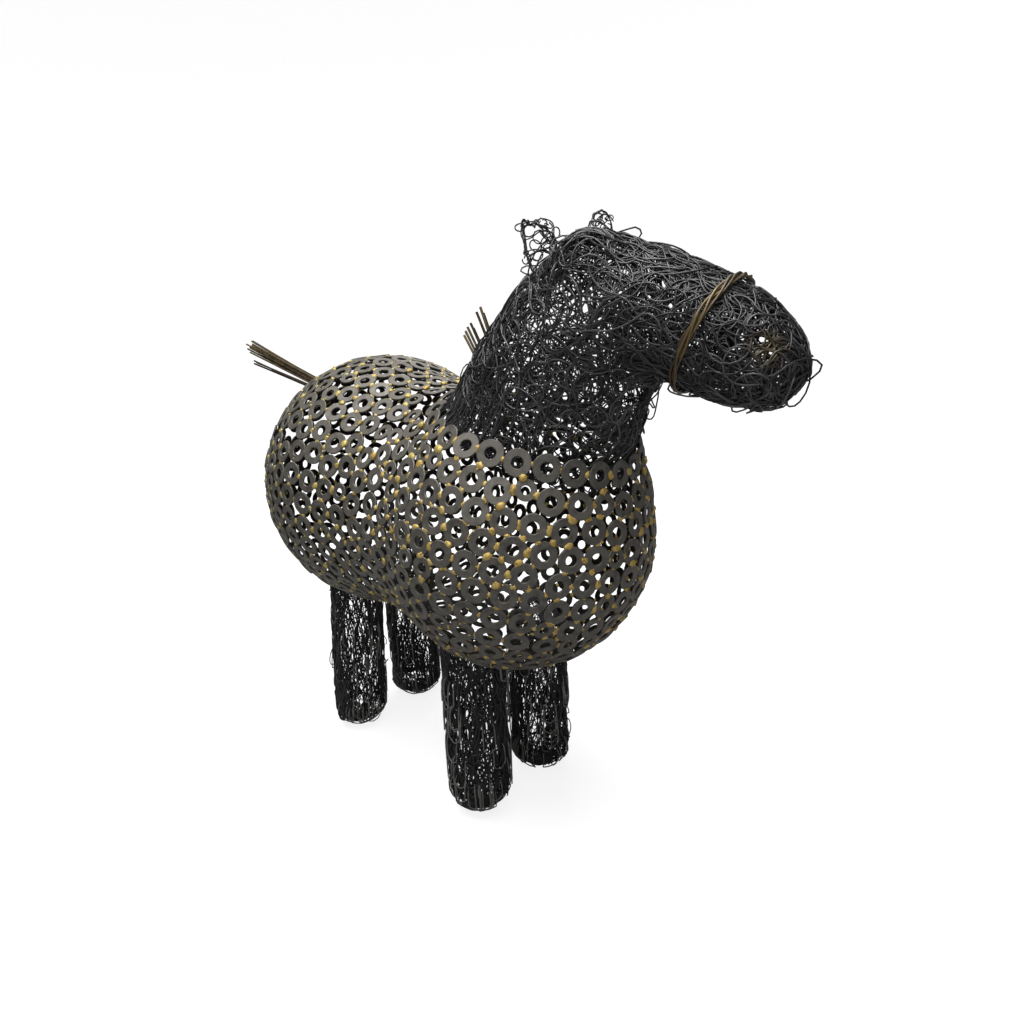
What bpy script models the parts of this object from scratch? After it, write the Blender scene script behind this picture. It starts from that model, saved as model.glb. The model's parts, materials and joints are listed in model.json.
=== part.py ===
"""A standing pony sculpture in scrap steel, with a hollow body of brazed washers on four wire legs.

The pony faces -Y and stands on Z = 0, and its origin lies under the middle of its whole length.
Lengths are in metres and angles in radians. The neck and head are a free form, drawn in shares
of the front lobe's radius, so they stay seated on it.
"""

import bmesh
import bpy
from math import acos, atan2, cos, hypot, pi, radians, sin, tau
from mathutils import Matrix, Vector

# Clearance between pieces that are wired or brazed to each other
GAP = 0.0003

# Body: two round lobes and a shallow waist, turned about one axis that rises to the rear
FRONT_LOBE_RADIUS = 0.126
REAR_LOBE_RADIUS = 0.135
LOBE_SPACING = 0.195
WAIST_FILLET = 0.25
BODY_RISE = radians(6.5)
FRONT_LOBE_HEIGHT = 0.285
FRONT_LOBE_PLACE = -0.1318
BODY_SIDES = 24
PROFILE_STEPS = 17
FINE_STEPS = 400

# Sheet of washers
WASHER_WALL = 0.0021
WASHER_BORE = 0.0095
BORE_PITCH = 0.052
BORE_SIDES = 5
BORE_CUT = 8 * WASHER_WALL
RIM_LAND = 0.012

# Neck and head, a mat of wire
NECK_WALL = 0.006
NECK_TUCK = 0.004
HEAD_SIDES = 18
HEAD_RINGS = 16
MUZZLE_CROWN_SHARE = 0.12

# Legs, tubes of wire with domed feet
LEG_RADIUS = 0.031
LEG_WALL = 0.007
FOOT_FLAT_RADIUS = 0.011
LEG_TRACK = 0.0895
LEG_WHEELBASE = 0.225
LEGS_PLACE = 0.0032
REAR_RIGHT_LEAN = Vector((0.055, -0.04))
LEG_SIDES = 16
DOME_STEPS = 3

# Ears, leaf-shaped loops of wire filled with curls
EAR_HEIGHT = 0.044
LEFT_EAR_EXTRA = 0.005
EAR_WIDTH = 0.033
EAR_WIRE_RADIUS = 0.0016
EAR_CURL_RADIUS = 0.0010
EAR_CURL_SLANT_SHARE = 0.07
EAR_CURL_STEPS = 4
EAR_SPREAD = 0.074
EAR_SINK = 0.016
EAR_RIM_POINTS = 12
EAR_TURN = radians(20)
EAR_TILT = radians(14)
EAR_LEAN = radians(16)
EAR_FULLNESS_SHARE = 1.22
EAR_TAPER_SHARE = 0.35
# Each curl's place up the ear and its bow, in shares of the ear's height
EAR_CURL_SHARES = ((0.50, 0.22), (0.72, -0.20))

# Noseband, a rope of twisted wire
BAND_WIDTH = 0.0080
BAND_THICKNESS = 0.0040
BAND_STRANDS = 3
BAND_TWISTS = 7
BAND_POINTS = 28
BAND_SKEW_SHARE = 0.014
BAND_GROOVE_SHARE = 0.76
BAND_STEP = radians(0.6)

# Tail and mane, bundles of brazing rod
ROD_RADIUS = 0.0012
ROD_SIDES = 6
ROD_SHORTENING_SHARE = 0.16
ROD_SHUFFLE = 5
KNOT_SIDES = 8
KNOT_RINGS = 6
GOLDEN_TURN = pi * (3 - 5 ** 0.5)
TAIL_LENGTH = 0.222
TAIL_ROOT_ANGLE = radians(40)
TAIL_RISE = radians(12.5)
TAIL_FAN = radians(3.3)
TAIL_RODS = 12
TAIL_ROOT_RADIUS = 0.0065
TUFT_LENGTH = 0.047
TUFT_FAN = radians(9)
TUFT_LEAN = radians(16)
TUFT_RODS = 8
TUFT_ROOT_RADIUS = 0.0055

# Sections of the neck and head from the chest to the muzzle, in shares of the front lobe's
# radius: the underside's place and height, the topside's place and height, and half the width.
# Places run backwards and heights upwards from the front lobe's centre.
HEAD_SECTION_SHARES = (
    (-0.870, 0.420, 0.660, 0.560, 0.600),
    (-0.905, 0.600, 0.520, 0.770, 0.606),
    (-1.000, 0.830, 0.365, 1.010, 0.575),
    (-1.090, 1.025, 0.165, 1.290, 0.520),
    (-1.170, 1.120, -0.075, 1.550, 0.482),
    (-1.230, 1.150, -0.350, 1.790, 0.465),
    (-1.265, 1.150, -0.760, 1.968, 0.440),
    (-1.300, 1.135, -1.170, 1.850, 0.385),
    (-1.365, 1.100, -1.655, 1.645, 0.318),
    (-1.560, 1.035, -1.845, 1.515, 0.318),
    (-1.760, 1.000, -1.965, 1.370, 0.262),
    (-1.900, 1.030, -2.015, 1.265, 0.155),
)
BAND_SHARE = 8 / 11
EAR_SHARE = 5.4 / 11
TUFT_SHARE = 2.62 / 11


def clear_scene():
    for thing in list(bpy.data.objects):
        bpy.data.objects.remove(thing, do_unlink=True)


def new_collection(name):
    collection = bpy.data.collections.new(name)
    bpy.context.scene.collection.children.link(collection)
    return collection


def new_material(name, colour, metallic, roughness):
    material = bpy.data.materials.new(name)
    material.use_nodes = True
    shader = material.node_tree.nodes["Principled BSDF"]
    shader.inputs["Base Color"].default_value = (*colour, 1)
    shader.inputs["Metallic"].default_value = metallic
    shader.inputs["Roughness"].default_value = roughness
    return material


def new_object(name, data, collection, material=None):
    thing = bpy.data.objects.new(name, data)
    collection.objects.link(thing)
    if material:
        data.materials.append(material)
    return thing


def as_cutter(thing):
    thing.hide_render = True
    thing.display_type = 'WIRE'
    return thing


def boolean(thing, other, operation):
    modifier = thing.modifiers.new(other.name, 'BOOLEAN')
    modifier.operation = operation
    modifier.object = other


def mesh_of(thing):
    """The object's evaluated mesh in world space, with loose caps welded."""
    evaluated = thing.evaluated_get(bpy.context.evaluated_depsgraph_get())
    mesh = bpy.data.meshes.new_from_object(evaluated)
    mesh.transform(thing.matrix_world)
    work = bmesh.new()
    work.from_mesh(mesh)
    bmesh.ops.remove_doubles(work, verts=work.verts, dist=1e-6)
    work.to_mesh(mesh)
    work.free()
    return mesh


def mesh_from(work, name):
    mesh = bpy.data.meshes.new(name)
    work.to_mesh(mesh)
    work.free()
    return mesh


def shade_round(mesh, crease=radians(35)):
    mesh.shade_smooth()
    mesh.set_sharp_from_angle(angle=crease)


# Body

def waist():
    """Where the waist's arc is centred, as its place along the axis and its distance from it."""
    to_rear = REAR_LOBE_RADIUS + WAIST_FILLET
    to_front = FRONT_LOBE_RADIUS + WAIST_FILLET
    along = (LOBE_SPACING ** 2 + to_front ** 2 - to_rear ** 2) / (2 * LOBE_SPACING)
    return along, (to_front ** 2 - along ** 2) ** 0.5


def body_outline(steps=PROFILE_STEPS, offset=0.0):
    """(radius, place along the axis) from the rear pole to the front pole, evenly spaced.

    The front lobe is centred at place 0 and the rear one at place LOBE_SPACING.
    """
    along, out = waist()
    front_end = atan2(out, along)
    rear_end = atan2(out, along - LOBE_SPACING)
    arcs = (
        (LOBE_SPACING, 0.0, REAR_LOBE_RADIUS + offset, 0.0, rear_end),
        (along, out, WAIST_FILLET - offset, rear_end - pi, front_end - pi),
        (0.0, 0.0, FRONT_LOBE_RADIUS + offset, front_end, pi),
    )
    lengths = [radius * abs(end - start) for _, _, radius, start, end in arcs]
    points = []
    for step in range(steps + 1):
        left = sum(lengths) * step / steps
        for (place, height, radius, start, end), length in zip(arcs, lengths):
            if left <= length + 1e-9:
                break
            left -= length
        angle = start + (end - start) * min(left / length, 1.0)
        points.append((max(height + radius * sin(angle), 0.0), place + radius * cos(angle)))
    return points


def body_matrix():
    """Takes the turned body from its own +Z axis to the pony's raised back."""
    place = Matrix.Translation((0, FRONT_LOBE_PLACE, FRONT_LOBE_HEIGHT))
    return place @ Matrix.Rotation(BODY_RISE - pi / 2, 4, 'X')


def turned(name, outline, sides, collection, material=None):
    work = bmesh.new()
    corners = [work.verts.new((radius, 0, place)) for radius, place in outline]
    for first, second in zip(corners, corners[1:]):
        work.edges.new((first, second))
    thing = new_object(name, mesh_from(work, name), collection, material)
    screw = thing.modifiers.new("Turn", 'SCREW')
    screw.steps = sides
    screw.render_steps = sides
    screw.use_merge_vertices = True
    screw.merge_threshold = 1e-5
    return thing


def body_solid(name, offset, collection):
    """A cutter of the body's own shape, grown by the offset."""
    thing = turned(name, body_outline(offset=offset), BODY_SIDES, collection)
    thing.matrix_world = body_matrix()
    return as_cutter(thing)


def clear_of_neck(point):
    """Whether a bore here leaves a whole land between itself and the neck's opening."""
    _, _, back, _, half_width = HEAD_SECTION_SHARES[1]
    front = HEAD_SECTION_SHARES[1][0] * FRONT_LOBE_RADIUS + FRONT_LOBE_PLACE
    back = back * FRONT_LOBE_RADIUS + FRONT_LOBE_PLACE
    reach = RIM_LAND + WASHER_BORE / 2
    across = point.x / (half_width * FRONT_LOBE_RADIUS + reach)
    lengthwise = (point.y - (front + back) / 2) / ((back - front) / 2 + reach)
    return point.z < FRONT_LOBE_HEIGHT or hypot(across, lengthwise) > 1


def clear_of_legs(point):
    reach = LEG_RADIUS + WASHER_BORE / 2
    above = point.z > FRONT_LOBE_HEIGHT
    return above or all((point.xy - foot.xy).length > reach for _, foot in feet())


def bore_places():
    """(point, outward direction) of each bore, in rows round the body that are set half a pitch apart."""
    fine = body_outline(FINE_STEPS)
    length = sum(hypot(b[0] - a[0], b[1] - a[1]) for a, b in zip(fine, fine[1:]))
    rows = round(length / (BORE_PITCH * sin(pi / 3)))
    matrix = body_matrix()
    for row in range(1, rows):
        index = round(row * FINE_STEPS / rows)
        radius, place = fine[index]
        ahead, behind = fine[index - 1], fine[index + 1]
        slope = Vector((ahead[1] - behind[1], 0, behind[0] - ahead[0])).normalized()
        count = max(3, round(tau * radius / BORE_PITCH))
        for step in range(count):
            turn = Matrix.Rotation((step + row % 2 / 2) * tau / count, 4, 'Z')
            yield matrix @ turn @ Vector((radius, 0, place)), (matrix @ turn).to_3x3() @ slope


def bore_cutter(collection):
    work = bmesh.new()
    for point, outward in bore_places():
        if not (clear_of_neck(point) and clear_of_legs(point)):
            continue
        aim = outward.to_track_quat('Z', 'Y').to_matrix().to_4x4()
        bmesh.ops.create_cone(
            work,
            cap_ends=True,
            segments=BORE_SIDES,
            radius1=WASHER_BORE / 2,
            radius2=WASHER_BORE / 2,
            depth=BORE_CUT,
            matrix=Matrix.Translation(point) @ aim,
        )
    return as_cutter(new_object("bores", mesh_from(work, "bores"), collection))


def make_body(parts, cutters, steel, neck_opening):
    body = turned("body_shell", body_outline(), BODY_SIDES, parts, steel)
    body.matrix_world = body_matrix()
    wall = body.modifiers.new("Wall", 'SOLIDIFY')
    wall.thickness = WASHER_WALL
    wall.offset = -1
    boolean(body, neck_opening, 'DIFFERENCE')
    boolean(body, bore_cutter(cutters), 'DIFFERENCE')
    return body


# Neck and head

def between(values, share):
    """A smooth curve through evenly spaced values, read at a share from 0 to 1."""
    last = len(values) - 1
    index = min(int(share * last), last - 1)
    t = share * last - index
    a, b, c, d = (values[max(0, min(last, index + k))] for k in (-1, 0, 1, 2))
    return b + (c - a + (2 * a - 5 * b + 4 * c - d + (3 * (b - c) + d - a) * t) * t) * t / 2


def head_section(share, offset=0.0):
    """(underside, topside, half width) of the neck or head at a share of the way to the muzzle."""
    values = [between(column, share) * FRONT_LOBE_RADIUS for column in zip(*HEAD_SECTION_SHARES)]
    base = Vector((0, FRONT_LOBE_PLACE, FRONT_LOBE_HEIGHT))
    under = base + Vector((0, values[0], values[1]))
    over = base + Vector((0, values[2], values[3]))
    grow = (over - under).normalized() * offset
    return under - grow, over + grow, values[4] + offset


def head_point(share, turn, offset=0.0):
    """A point on the skin, at a turn from the topside round over the pony's left."""
    under, over, half_width = head_section(share, offset)
    across = Vector((half_width * sin(turn), 0, 0))
    return (under + over) / 2 + (over - under) / 2 * cos(turn) + across


def head_loft(offset, closed):
    """The skin of the neck and head: rings of unlike ellipses, closed at the muzzle."""
    work = bmesh.new()
    rings = []
    for index in range(HEAD_RINGS + 1):
        share = index / HEAD_RINGS
        turns = [tau * side / HEAD_SIDES for side in range(HEAD_SIDES)]
        rings.append([work.verts.new(head_point(share, turn, offset)) for turn in turns])
    for ring, following in zip(rings, rings[1:]):
        for side in range(HEAD_SIDES):
            other = (side + 1) % HEAD_SIDES
            work.faces.new((ring[side], ring[other], following[other], following[side]))
    under, over, _ = head_section(1, offset)
    before = head_section(1 - 1 / HEAD_RINGS, offset)
    middle = (under + over) / 2
    ahead = middle - (before[0] + before[1]) / 2
    crown = MUZZLE_CROWN_SHARE * (over - under).length + offset
    tip = work.verts.new(middle + ahead.normalized() * crown)
    for side in range(HEAD_SIDES):
        work.faces.new((rings[-1][side], rings[-1][(side + 1) % HEAD_SIDES], tip))
    if closed:
        work.faces.new(rings[0])
    bmesh.ops.recalc_face_normals(work, faces=work.faces)
    return mesh_from(work, "head_skin")


def head_solid(name, offset, collection):
    return as_cutter(new_object(name, head_loft(offset, True), collection))


def make_head(parts, cutters, wire):
    head = new_object("head_and_neck", head_loft(0.0, False), parts, wire)
    shade_round(head.data)
    wall = head.modifiers.new("Wall", 'SOLIDIFY')
    wall.thickness = NECK_WALL
    wall.offset = -1
    inside = body_solid("inside_of_body", -WASHER_WALL - NECK_TUCK, cutters)
    boolean(head, inside, 'DIFFERENCE')
    return head


# Legs

def feet():
    """(name, point under the foot) of each leg. The pony's right is -X, because it faces -Y."""
    for end, side_y in (("front", -1), ("rear", 1)):
        for hand, side_x in (("left", 1), ("right", -1)):
            place = Vector((side_x * LEG_TRACK / 2, LEGS_PLACE + side_y * LEG_WHEELBASE / 2, 0))
            yield f"leg_{end}_{hand}", place


def leg_outline():
    """(radius, height) from the top of the leg down to the middle of its flat sole."""
    start = acos(FOOT_FLAT_RADIUS / LEG_RADIUS)
    rise = LEG_RADIUS * sin(start)
    points = [(LEG_RADIUS, FRONT_LOBE_HEIGHT)]
    for step in range(DOME_STEPS + 1):
        angle = start * step / DOME_STEPS
        points.append((LEG_RADIUS * cos(angle), rise - LEG_RADIUS * sin(angle)))
    return points + [(0.0, 0.0)]


def make_legs(parts, cutters, wire):
    belly = body_solid("belly_seat", GAP, cutters)
    for name, foot in feet():
        blank = turned(name + "_blank", leg_outline(), LEG_SIDES, cutters)
        wall = blank.modifiers.new("Wall", 'SOLIDIFY')
        wall.thickness = LEG_WALL
        wall.offset = -1
        mesh = mesh_of(blank)
        bpy.data.objects.remove(blank)
        if name == "leg_rear_right":
            lean = Matrix.Identity(4)
            lean[0][2], lean[1][2] = REAR_RIGHT_LEAN
            mesh.transform(lean)
        shade_round(mesh)
        leg = new_object(name, mesh, parts, wire)
        leg.location = foot
        boolean(leg, belly, 'DIFFERENCE')


# Ears

def wire_mesh(points, radius, cyclic):
    """A bent wire through the points, as a closed mesh with six sides."""
    curve = bpy.data.curves.new("wire", 'CURVE')
    curve.dimensions = '3D'
    curve.bevel_depth = radius
    curve.bevel_resolution = 1
    curve.use_fill_caps = True
    spline = curve.splines.new('POLY')
    spline.points.add(len(points) - 1)
    for corner, point in zip(spline.points, points):
        corner.co = (*point, 1)
    spline.use_cyclic_u = cyclic
    holder = bpy.data.objects.new("wire", curve)
    bpy.context.scene.collection.objects.link(holder)
    mesh = mesh_of(holder)
    bpy.data.objects.remove(holder)
    return mesh


def ear_rim(turn, height):
    """The leaf's edge in its own plane: a round lower part drawn out to a blunt tip."""
    rise = (1 - cos(turn)) / 2
    width = sin(turn) * (1 - EAR_TAPER_SHARE * rise) * EAR_FULLNESS_SHARE
    return Vector((width * EAR_WIDTH / 2, 0, rise * height))


def ear_curl(share, bow, height):
    """A curl from edge to edge of the leaf, bowed along it and out of its plane."""
    left = ear_rim(pi * share, height)
    right = ear_rim(-pi * (share + EAR_CURL_SLANT_SHARE), height)
    for step in range(EAR_CURL_STEPS + 1):
        t = step / EAR_CURL_STEPS
        out = EAR_CURL_RADIUS / 3 + EAR_WIRE_RADIUS * sin(pi * t)
        yield left.lerp(right, t) + Vector((0, out, bow * height * sin(pi * t)))


def ear_matrix(side):
    seat = head_point(EAR_SHARE, side * EAR_SPREAD / (2 * head_section(EAR_SHARE)[2]))
    turn = Matrix.Rotation(side * EAR_TURN, 4, 'Z')
    tilt = Matrix.Rotation(-EAR_TILT, 4, 'X')
    lean = Matrix.Rotation(side * EAR_LEAN, 4, 'Y')
    return Matrix.Translation(seat) @ lean @ turn @ tilt @ Matrix.Translation((0, 0, -EAR_SINK))


def make_ears(parts, cutters, wire, head_seat):
    for name, side, height in (
        ("ear_left", 1, EAR_HEIGHT + LEFT_EAR_EXTRA),
        ("ear_right", -1, EAR_HEIGHT),
    ):
        turns = [tau * step / EAR_RIM_POINTS for step in range(EAR_RIM_POINTS)]
        rim = wire_mesh([ear_rim(turn, height) for turn in turns], EAR_WIRE_RADIUS, True)
        ear = new_object(name, rim, parts, wire)
        ear.matrix_world = ear_matrix(side)
        for index, (share, bow) in enumerate(EAR_CURL_SHARES):
            curl = wire_mesh(list(ear_curl(share, bow, height)), EAR_CURL_RADIUS, False)
            piece = as_cutter(new_object(f"{name}_curl_{index + 1}", curl, cutters))
            piece.matrix_world = ear_matrix(side)
            boolean(ear, piece, 'UNION')
        boolean(ear, head_seat, 'DIFFERENCE')


# Noseband

def band_path(turn, rise):
    """A point on the band's middle line, raised off the skin. The band sits forward on the right."""
    return head_point(BAND_SHARE - BAND_SKEW_SHARE * sin(turn), turn, 2 * GAP + rise)


def make_noseband(parts, bronze):
    """A flat rope laid round the muzzle, its strands showing as a twisted, lobed section."""
    work = bmesh.new()
    sides = 2 * BAND_STRANDS
    rings = []
    for index in range(BAND_POINTS):
        turn = tau * index / BAND_POINTS
        middle = band_path(turn, BAND_THICKNESS / 2)
        outward = (band_path(turn, BAND_THICKNESS) - band_path(turn, 0)).normalized()
        ahead = band_path(turn + BAND_STEP, 0) - band_path(turn - BAND_STEP, 0)
        outward = (outward - outward.project(ahead)).normalized()
        sideways = ahead.cross(outward).normalized()
        ring = []
        for side in range(sides):
            angle = tau * side / sides + turn * BAND_TWISTS
            lobe = 1.0 if side % 2 == 0 else BAND_GROOVE_SHARE
            out = lobe * cos(angle) * BAND_THICKNESS / 2
            along = lobe * sin(angle) * BAND_WIDTH / 2
            ring.append(work.verts.new(middle + out * outward + along * sideways))
        rings.append(ring)
    for index, ring in enumerate(rings):
        following = rings[(index + 1) % BAND_POINTS]
        slip = BAND_TWISTS * sides if index == BAND_POINTS - 1 else 0
        for side in range(sides):
            other = (side + 1) % sides
            work.faces.new((
                ring[side],
                ring[other],
                following[(other + slip) % sides],
                following[(side + slip) % sides],
            ))
    bmesh.ops.recalc_face_normals(work, faces=work.faces)
    band = new_object("noseband", mesh_from(work, "noseband"), parts, bronze)
    shade_round(band.data)


# Tail and mane

def rod_bundle(name, root, heading, length, fan, count, root_radius, parts, cutters, bronze):
    """Straight rods from one brazed knot, spread over a cone round their heading."""
    aim = heading.to_track_quat('Z', 'Y').to_matrix().to_4x4()
    knot = bmesh.new()
    bmesh.ops.create_uvsphere(knot, u_segments=KNOT_SIDES, v_segments=KNOT_RINGS, radius=root_radius)
    bundle = new_object(name, mesh_from(knot, name), parts, bronze)
    bundle.matrix_world = Matrix.Translation(root) @ aim
    for index in range(count):
        ring = ((index + 0.5) / count) ** 0.5
        turn = index * GOLDEN_TURN
        shortened = ROD_SHORTENING_SHARE * (index * ROD_SHUFFLE % count) / count
        own_length = length * (1 - shortened)
        lean = Matrix.Rotation(turn, 4, 'Z') @ Matrix.Rotation(fan * ring, 4, 'Y')
        start = Vector((cos(turn), sin(turn), 0)) * ring * (root_radius - 2 * ROD_RADIUS)
        rod = bmesh.new()
        bmesh.ops.create_cone(
            rod,
            cap_ends=True,
            segments=ROD_SIDES,
            radius1=ROD_RADIUS,
            radius2=ROD_RADIUS,
            depth=own_length,
            matrix=Matrix.Translation(start) @ lean @ Matrix.Translation((0, 0, own_length / 2)),
        )
        piece = as_cutter(new_object(f"{name}_rod_{index + 1}", mesh_from(rod, "rod"), cutters))
        piece.matrix_world = bundle.matrix_world
        boolean(bundle, piece, 'UNION')
    return bundle


def make_tail(parts, cutters, bronze):
    outward = Vector((0, cos(TAIL_ROOT_ANGLE), sin(TAIL_ROOT_ANGLE)))
    rear = body_matrix() @ Vector((0, 0, LOBE_SPACING))
    root = rear + outward * (REAR_LOBE_RADIUS + TAIL_ROOT_RADIUS / 2)
    heading = Vector((0, cos(TAIL_RISE), sin(TAIL_RISE)))
    tail = rod_bundle(
        "tail", root, heading, TAIL_LENGTH, TAIL_FAN, TAIL_RODS, TAIL_ROOT_RADIUS, parts, cutters, bronze
    )
    boolean(tail, body_solid("tail_seat", GAP, cutters), 'DIFFERENCE')


def make_mane_tuft(parts, cutters, bronze, head_seat):
    root = head_point(TUFT_SHARE, 0, TUFT_ROOT_RADIUS / 2)
    heading = Vector((0, sin(TUFT_LEAN), cos(TUFT_LEAN)))
    tuft = rod_bundle(
        "mane_tuft", root, heading, TUFT_LENGTH, TUFT_FAN, TUFT_RODS, TUFT_ROOT_RADIUS, parts, cutters, bronze
    )
    boolean(tuft, head_seat, 'DIFFERENCE')


def main():
    clear_scene()
    parts = new_collection("pony_sculpture")
    cutters = new_collection("cutters")
    washers = new_material("washer_steel", (0.13, 0.125, 0.115), 0.9, 0.5)
    wire = new_material("black_wire", (0.02, 0.02, 0.022), 0.8, 0.45)
    bronze = new_material("bronze_rod", (0.16, 0.105, 0.055), 0.9, 0.5)
    neck_opening = head_solid("neck_opening", GAP, cutters)
    make_body(parts, cutters, washers, neck_opening)
    make_head(parts, cutters, wire)
    make_legs(parts, cutters, wire)
    make_ears(parts, cutters, wire, neck_opening)
    make_noseband(parts, bronze)
    make_tail(parts, cutters, bronze)
    make_mane_tuft(parts, cutters, bronze, neck_opening)


main()
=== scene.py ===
# %% [markdown]
# # A pony of washers and wire
# The real sculpture is scrap steel: a hollow body of flat washers brazed edge to edge, four legs,
# a neck and a head of tangled black wire, and a tail, a tuft of mane and a noseband of brown
# bronze rod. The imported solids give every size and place. This lesson lays the real washers,
# braze and wire over them. Everything is in metres, and the pony faces -Y.

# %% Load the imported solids
import json
from collections import namedtuple
from math import cos, pi, radians, sin, sqrt, tau
from random import Random

import bmesh
import bpy
import numpy as np
from mathutils import Matrix, Vector
from mathutils.bvhtree import BVHTree

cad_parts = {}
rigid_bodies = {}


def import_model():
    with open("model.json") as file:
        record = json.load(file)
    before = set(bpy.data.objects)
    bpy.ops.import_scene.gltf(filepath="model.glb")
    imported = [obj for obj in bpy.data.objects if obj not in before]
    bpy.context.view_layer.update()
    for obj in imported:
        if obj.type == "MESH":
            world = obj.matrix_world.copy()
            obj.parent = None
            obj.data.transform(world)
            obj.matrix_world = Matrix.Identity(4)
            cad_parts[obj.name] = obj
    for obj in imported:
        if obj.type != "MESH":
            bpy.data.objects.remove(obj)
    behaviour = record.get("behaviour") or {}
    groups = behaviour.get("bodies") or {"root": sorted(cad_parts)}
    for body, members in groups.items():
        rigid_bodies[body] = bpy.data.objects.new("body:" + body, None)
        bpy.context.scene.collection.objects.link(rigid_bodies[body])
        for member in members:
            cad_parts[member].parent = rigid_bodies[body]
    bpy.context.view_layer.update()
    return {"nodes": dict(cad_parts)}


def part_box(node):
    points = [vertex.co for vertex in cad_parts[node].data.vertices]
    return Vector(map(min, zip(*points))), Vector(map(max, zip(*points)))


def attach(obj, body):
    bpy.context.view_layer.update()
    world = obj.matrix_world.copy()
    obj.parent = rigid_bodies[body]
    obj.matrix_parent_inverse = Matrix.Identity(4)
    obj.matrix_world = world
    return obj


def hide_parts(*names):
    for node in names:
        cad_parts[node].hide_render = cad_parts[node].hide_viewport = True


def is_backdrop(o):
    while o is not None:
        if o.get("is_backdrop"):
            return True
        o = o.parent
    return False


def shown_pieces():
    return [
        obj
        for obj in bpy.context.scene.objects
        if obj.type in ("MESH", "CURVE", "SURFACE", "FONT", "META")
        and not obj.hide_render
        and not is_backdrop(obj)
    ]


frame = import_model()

STAGE = bpy.context.scene


def add_object(name, data):
    """A new object in the scene."""
    made = bpy.data.objects.new(name, data)
    STAGE.collection.objects.link(made)
    return made


def solid_corners(node):
    """The places of a solid's corners, a row for each."""
    return np.array([vertex.co for vertex in frame["nodes"][node].data.vertices])


print("solids:", ", ".join(sorted(frame["nodes"])))

# %% [markdown]
# ## The camera
# The photograph was taken close by, a little above the back, from the pony's right front. A wide
# lens close to the body is what makes the chest look large and the tail small. The place and the
# angles are the ones at which the body, the legs and the muzzle all fall where the photograph
# shows them.

# %% Camera
CAMERA_PLACE = Vector((-0.4132, -0.5492, 0.4746))
CAMERA_YAW = radians(-44.3)
CAMERA_PITCH = radians(16.3)
CAMERA_ROLL = -0.043
FOCAL_PIXELS = 663.0
FRAME_PIXELS = 1024
SENSOR_WIDTH = 36.0


def aim_camera():
    """The camera's right, up and backward directions."""
    level = cos(CAMERA_PITCH)
    back = Vector((sin(CAMERA_YAW) * level, -cos(CAMERA_YAW) * level, sin(CAMERA_PITCH)))
    right = Vector((0, 0, 1)).cross(back).normalized()
    up = back.cross(right)
    turned_right = right * cos(CAMERA_ROLL) + up * sin(CAMERA_ROLL)
    turned_up = up * cos(CAMERA_ROLL) - right * sin(CAMERA_ROLL)
    return turned_right, turned_up, back


def make_camera():
    lens = bpy.data.cameras.new("camera")
    lens.sensor_width = SENSOR_WIDTH
    lens.lens = SENSOR_WIDTH * FOCAL_PIXELS / FRAME_PIXELS
    lens.clip_start = 0.01
    camera = add_object("camera", lens)
    camera.matrix_world = Matrix.Translation(CAMERA_PLACE) @ Matrix(aim_camera()).transposed().to_4x4()
    STAGE.camera = camera
    print(f"camera: {lens.lens:.1f} mm lens")


def pixel_ray(x, y):
    """The direction that the camera looks in through a pixel of the photograph."""
    right, up, back = aim_camera()
    middle = FRAME_PIXELS / 2
    return ((x - middle) * right - (y - middle) * up - FOCAL_PIXELS * back).normalized()


make_camera()

# %% [markdown]
# ## Small helpers for node trees
# Every shader and every Geometry Nodes tree below is built from the same few calls: one adds a
# node and joins its inputs, one does a sum, and one lays a colour over another.

# %% Node helpers
def set_inputs(tree, node, inputs):
    """Gives each input a value, or joins it to the output that it reads."""
    for name, value in inputs.items():
        if isinstance(value, bpy.types.NodeSocket):
            tree.links.new(value, node.inputs[name])
        else:
            node.inputs[name].default_value = value
    return node


def add_node(tree, kind, inputs=None, **settings):
    """Adds a node with its settings and its inputs."""
    made = tree.nodes.new(kind)
    for name, value in settings.items():
        setattr(made, name, value)
    return set_inputs(tree, made, inputs or {})


def work_out(tree, operation, *values, clamp=False):
    """One sum, such as MULTIPLY, on numbers or outputs."""
    inputs = dict(enumerate(values))
    return add_node(tree, "ShaderNodeMath", inputs, operation=operation, use_clamp=clamp).outputs[0]


def opaque(colour):
    """A colour with its alpha. An output is passed on as it is."""
    return (*colour, 1) if isinstance(colour, tuple) else colour


def mix_colours(tree, share, first, second, blend='MIX'):
    """Mixes from the first colour to the second by a share from 0 to 1."""
    inputs = {0: share, 6: opaque(first), 7: opaque(second)}
    return add_node(tree, "ShaderNodeMix", inputs, data_type='RGBA', blend_type=blend).outputs[2]


def coat(tree, colour, *coats):
    """Lays coats over a colour. Each is a share and the colour of the coat."""
    for share, over in coats:
        colour = mix_colours(tree, share, colour, over)
    return colour


def read_attribute(tree, name):
    """A number that the mesh carries at each corner."""
    return add_node(tree, "ShaderNodeAttribute", attribute_name=name).outputs["Fac"]


def spread(tree, value, low, high, to_low=0.0, to_high=1.0):
    """Maps a range of a value onto another range, and clamps it there."""
    inputs = {"Value": value, "From Min": low, "From Max": high, "To Min": to_low, "To Max": to_high}
    return add_node(tree, "ShaderNodeMapRange", inputs).outputs[0]

# %% [markdown]
# ## The studio
# The pony stands on a plain pale sweep, a floor that curves up into a wall all round, so that no
# view shows an edge. The soft light comes mostly from above, as the pale tops and dark underside
# of the washers show. The floor looks brighter than the light that it throws back, or the belly
# would be lit as brightly as the back.

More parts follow.
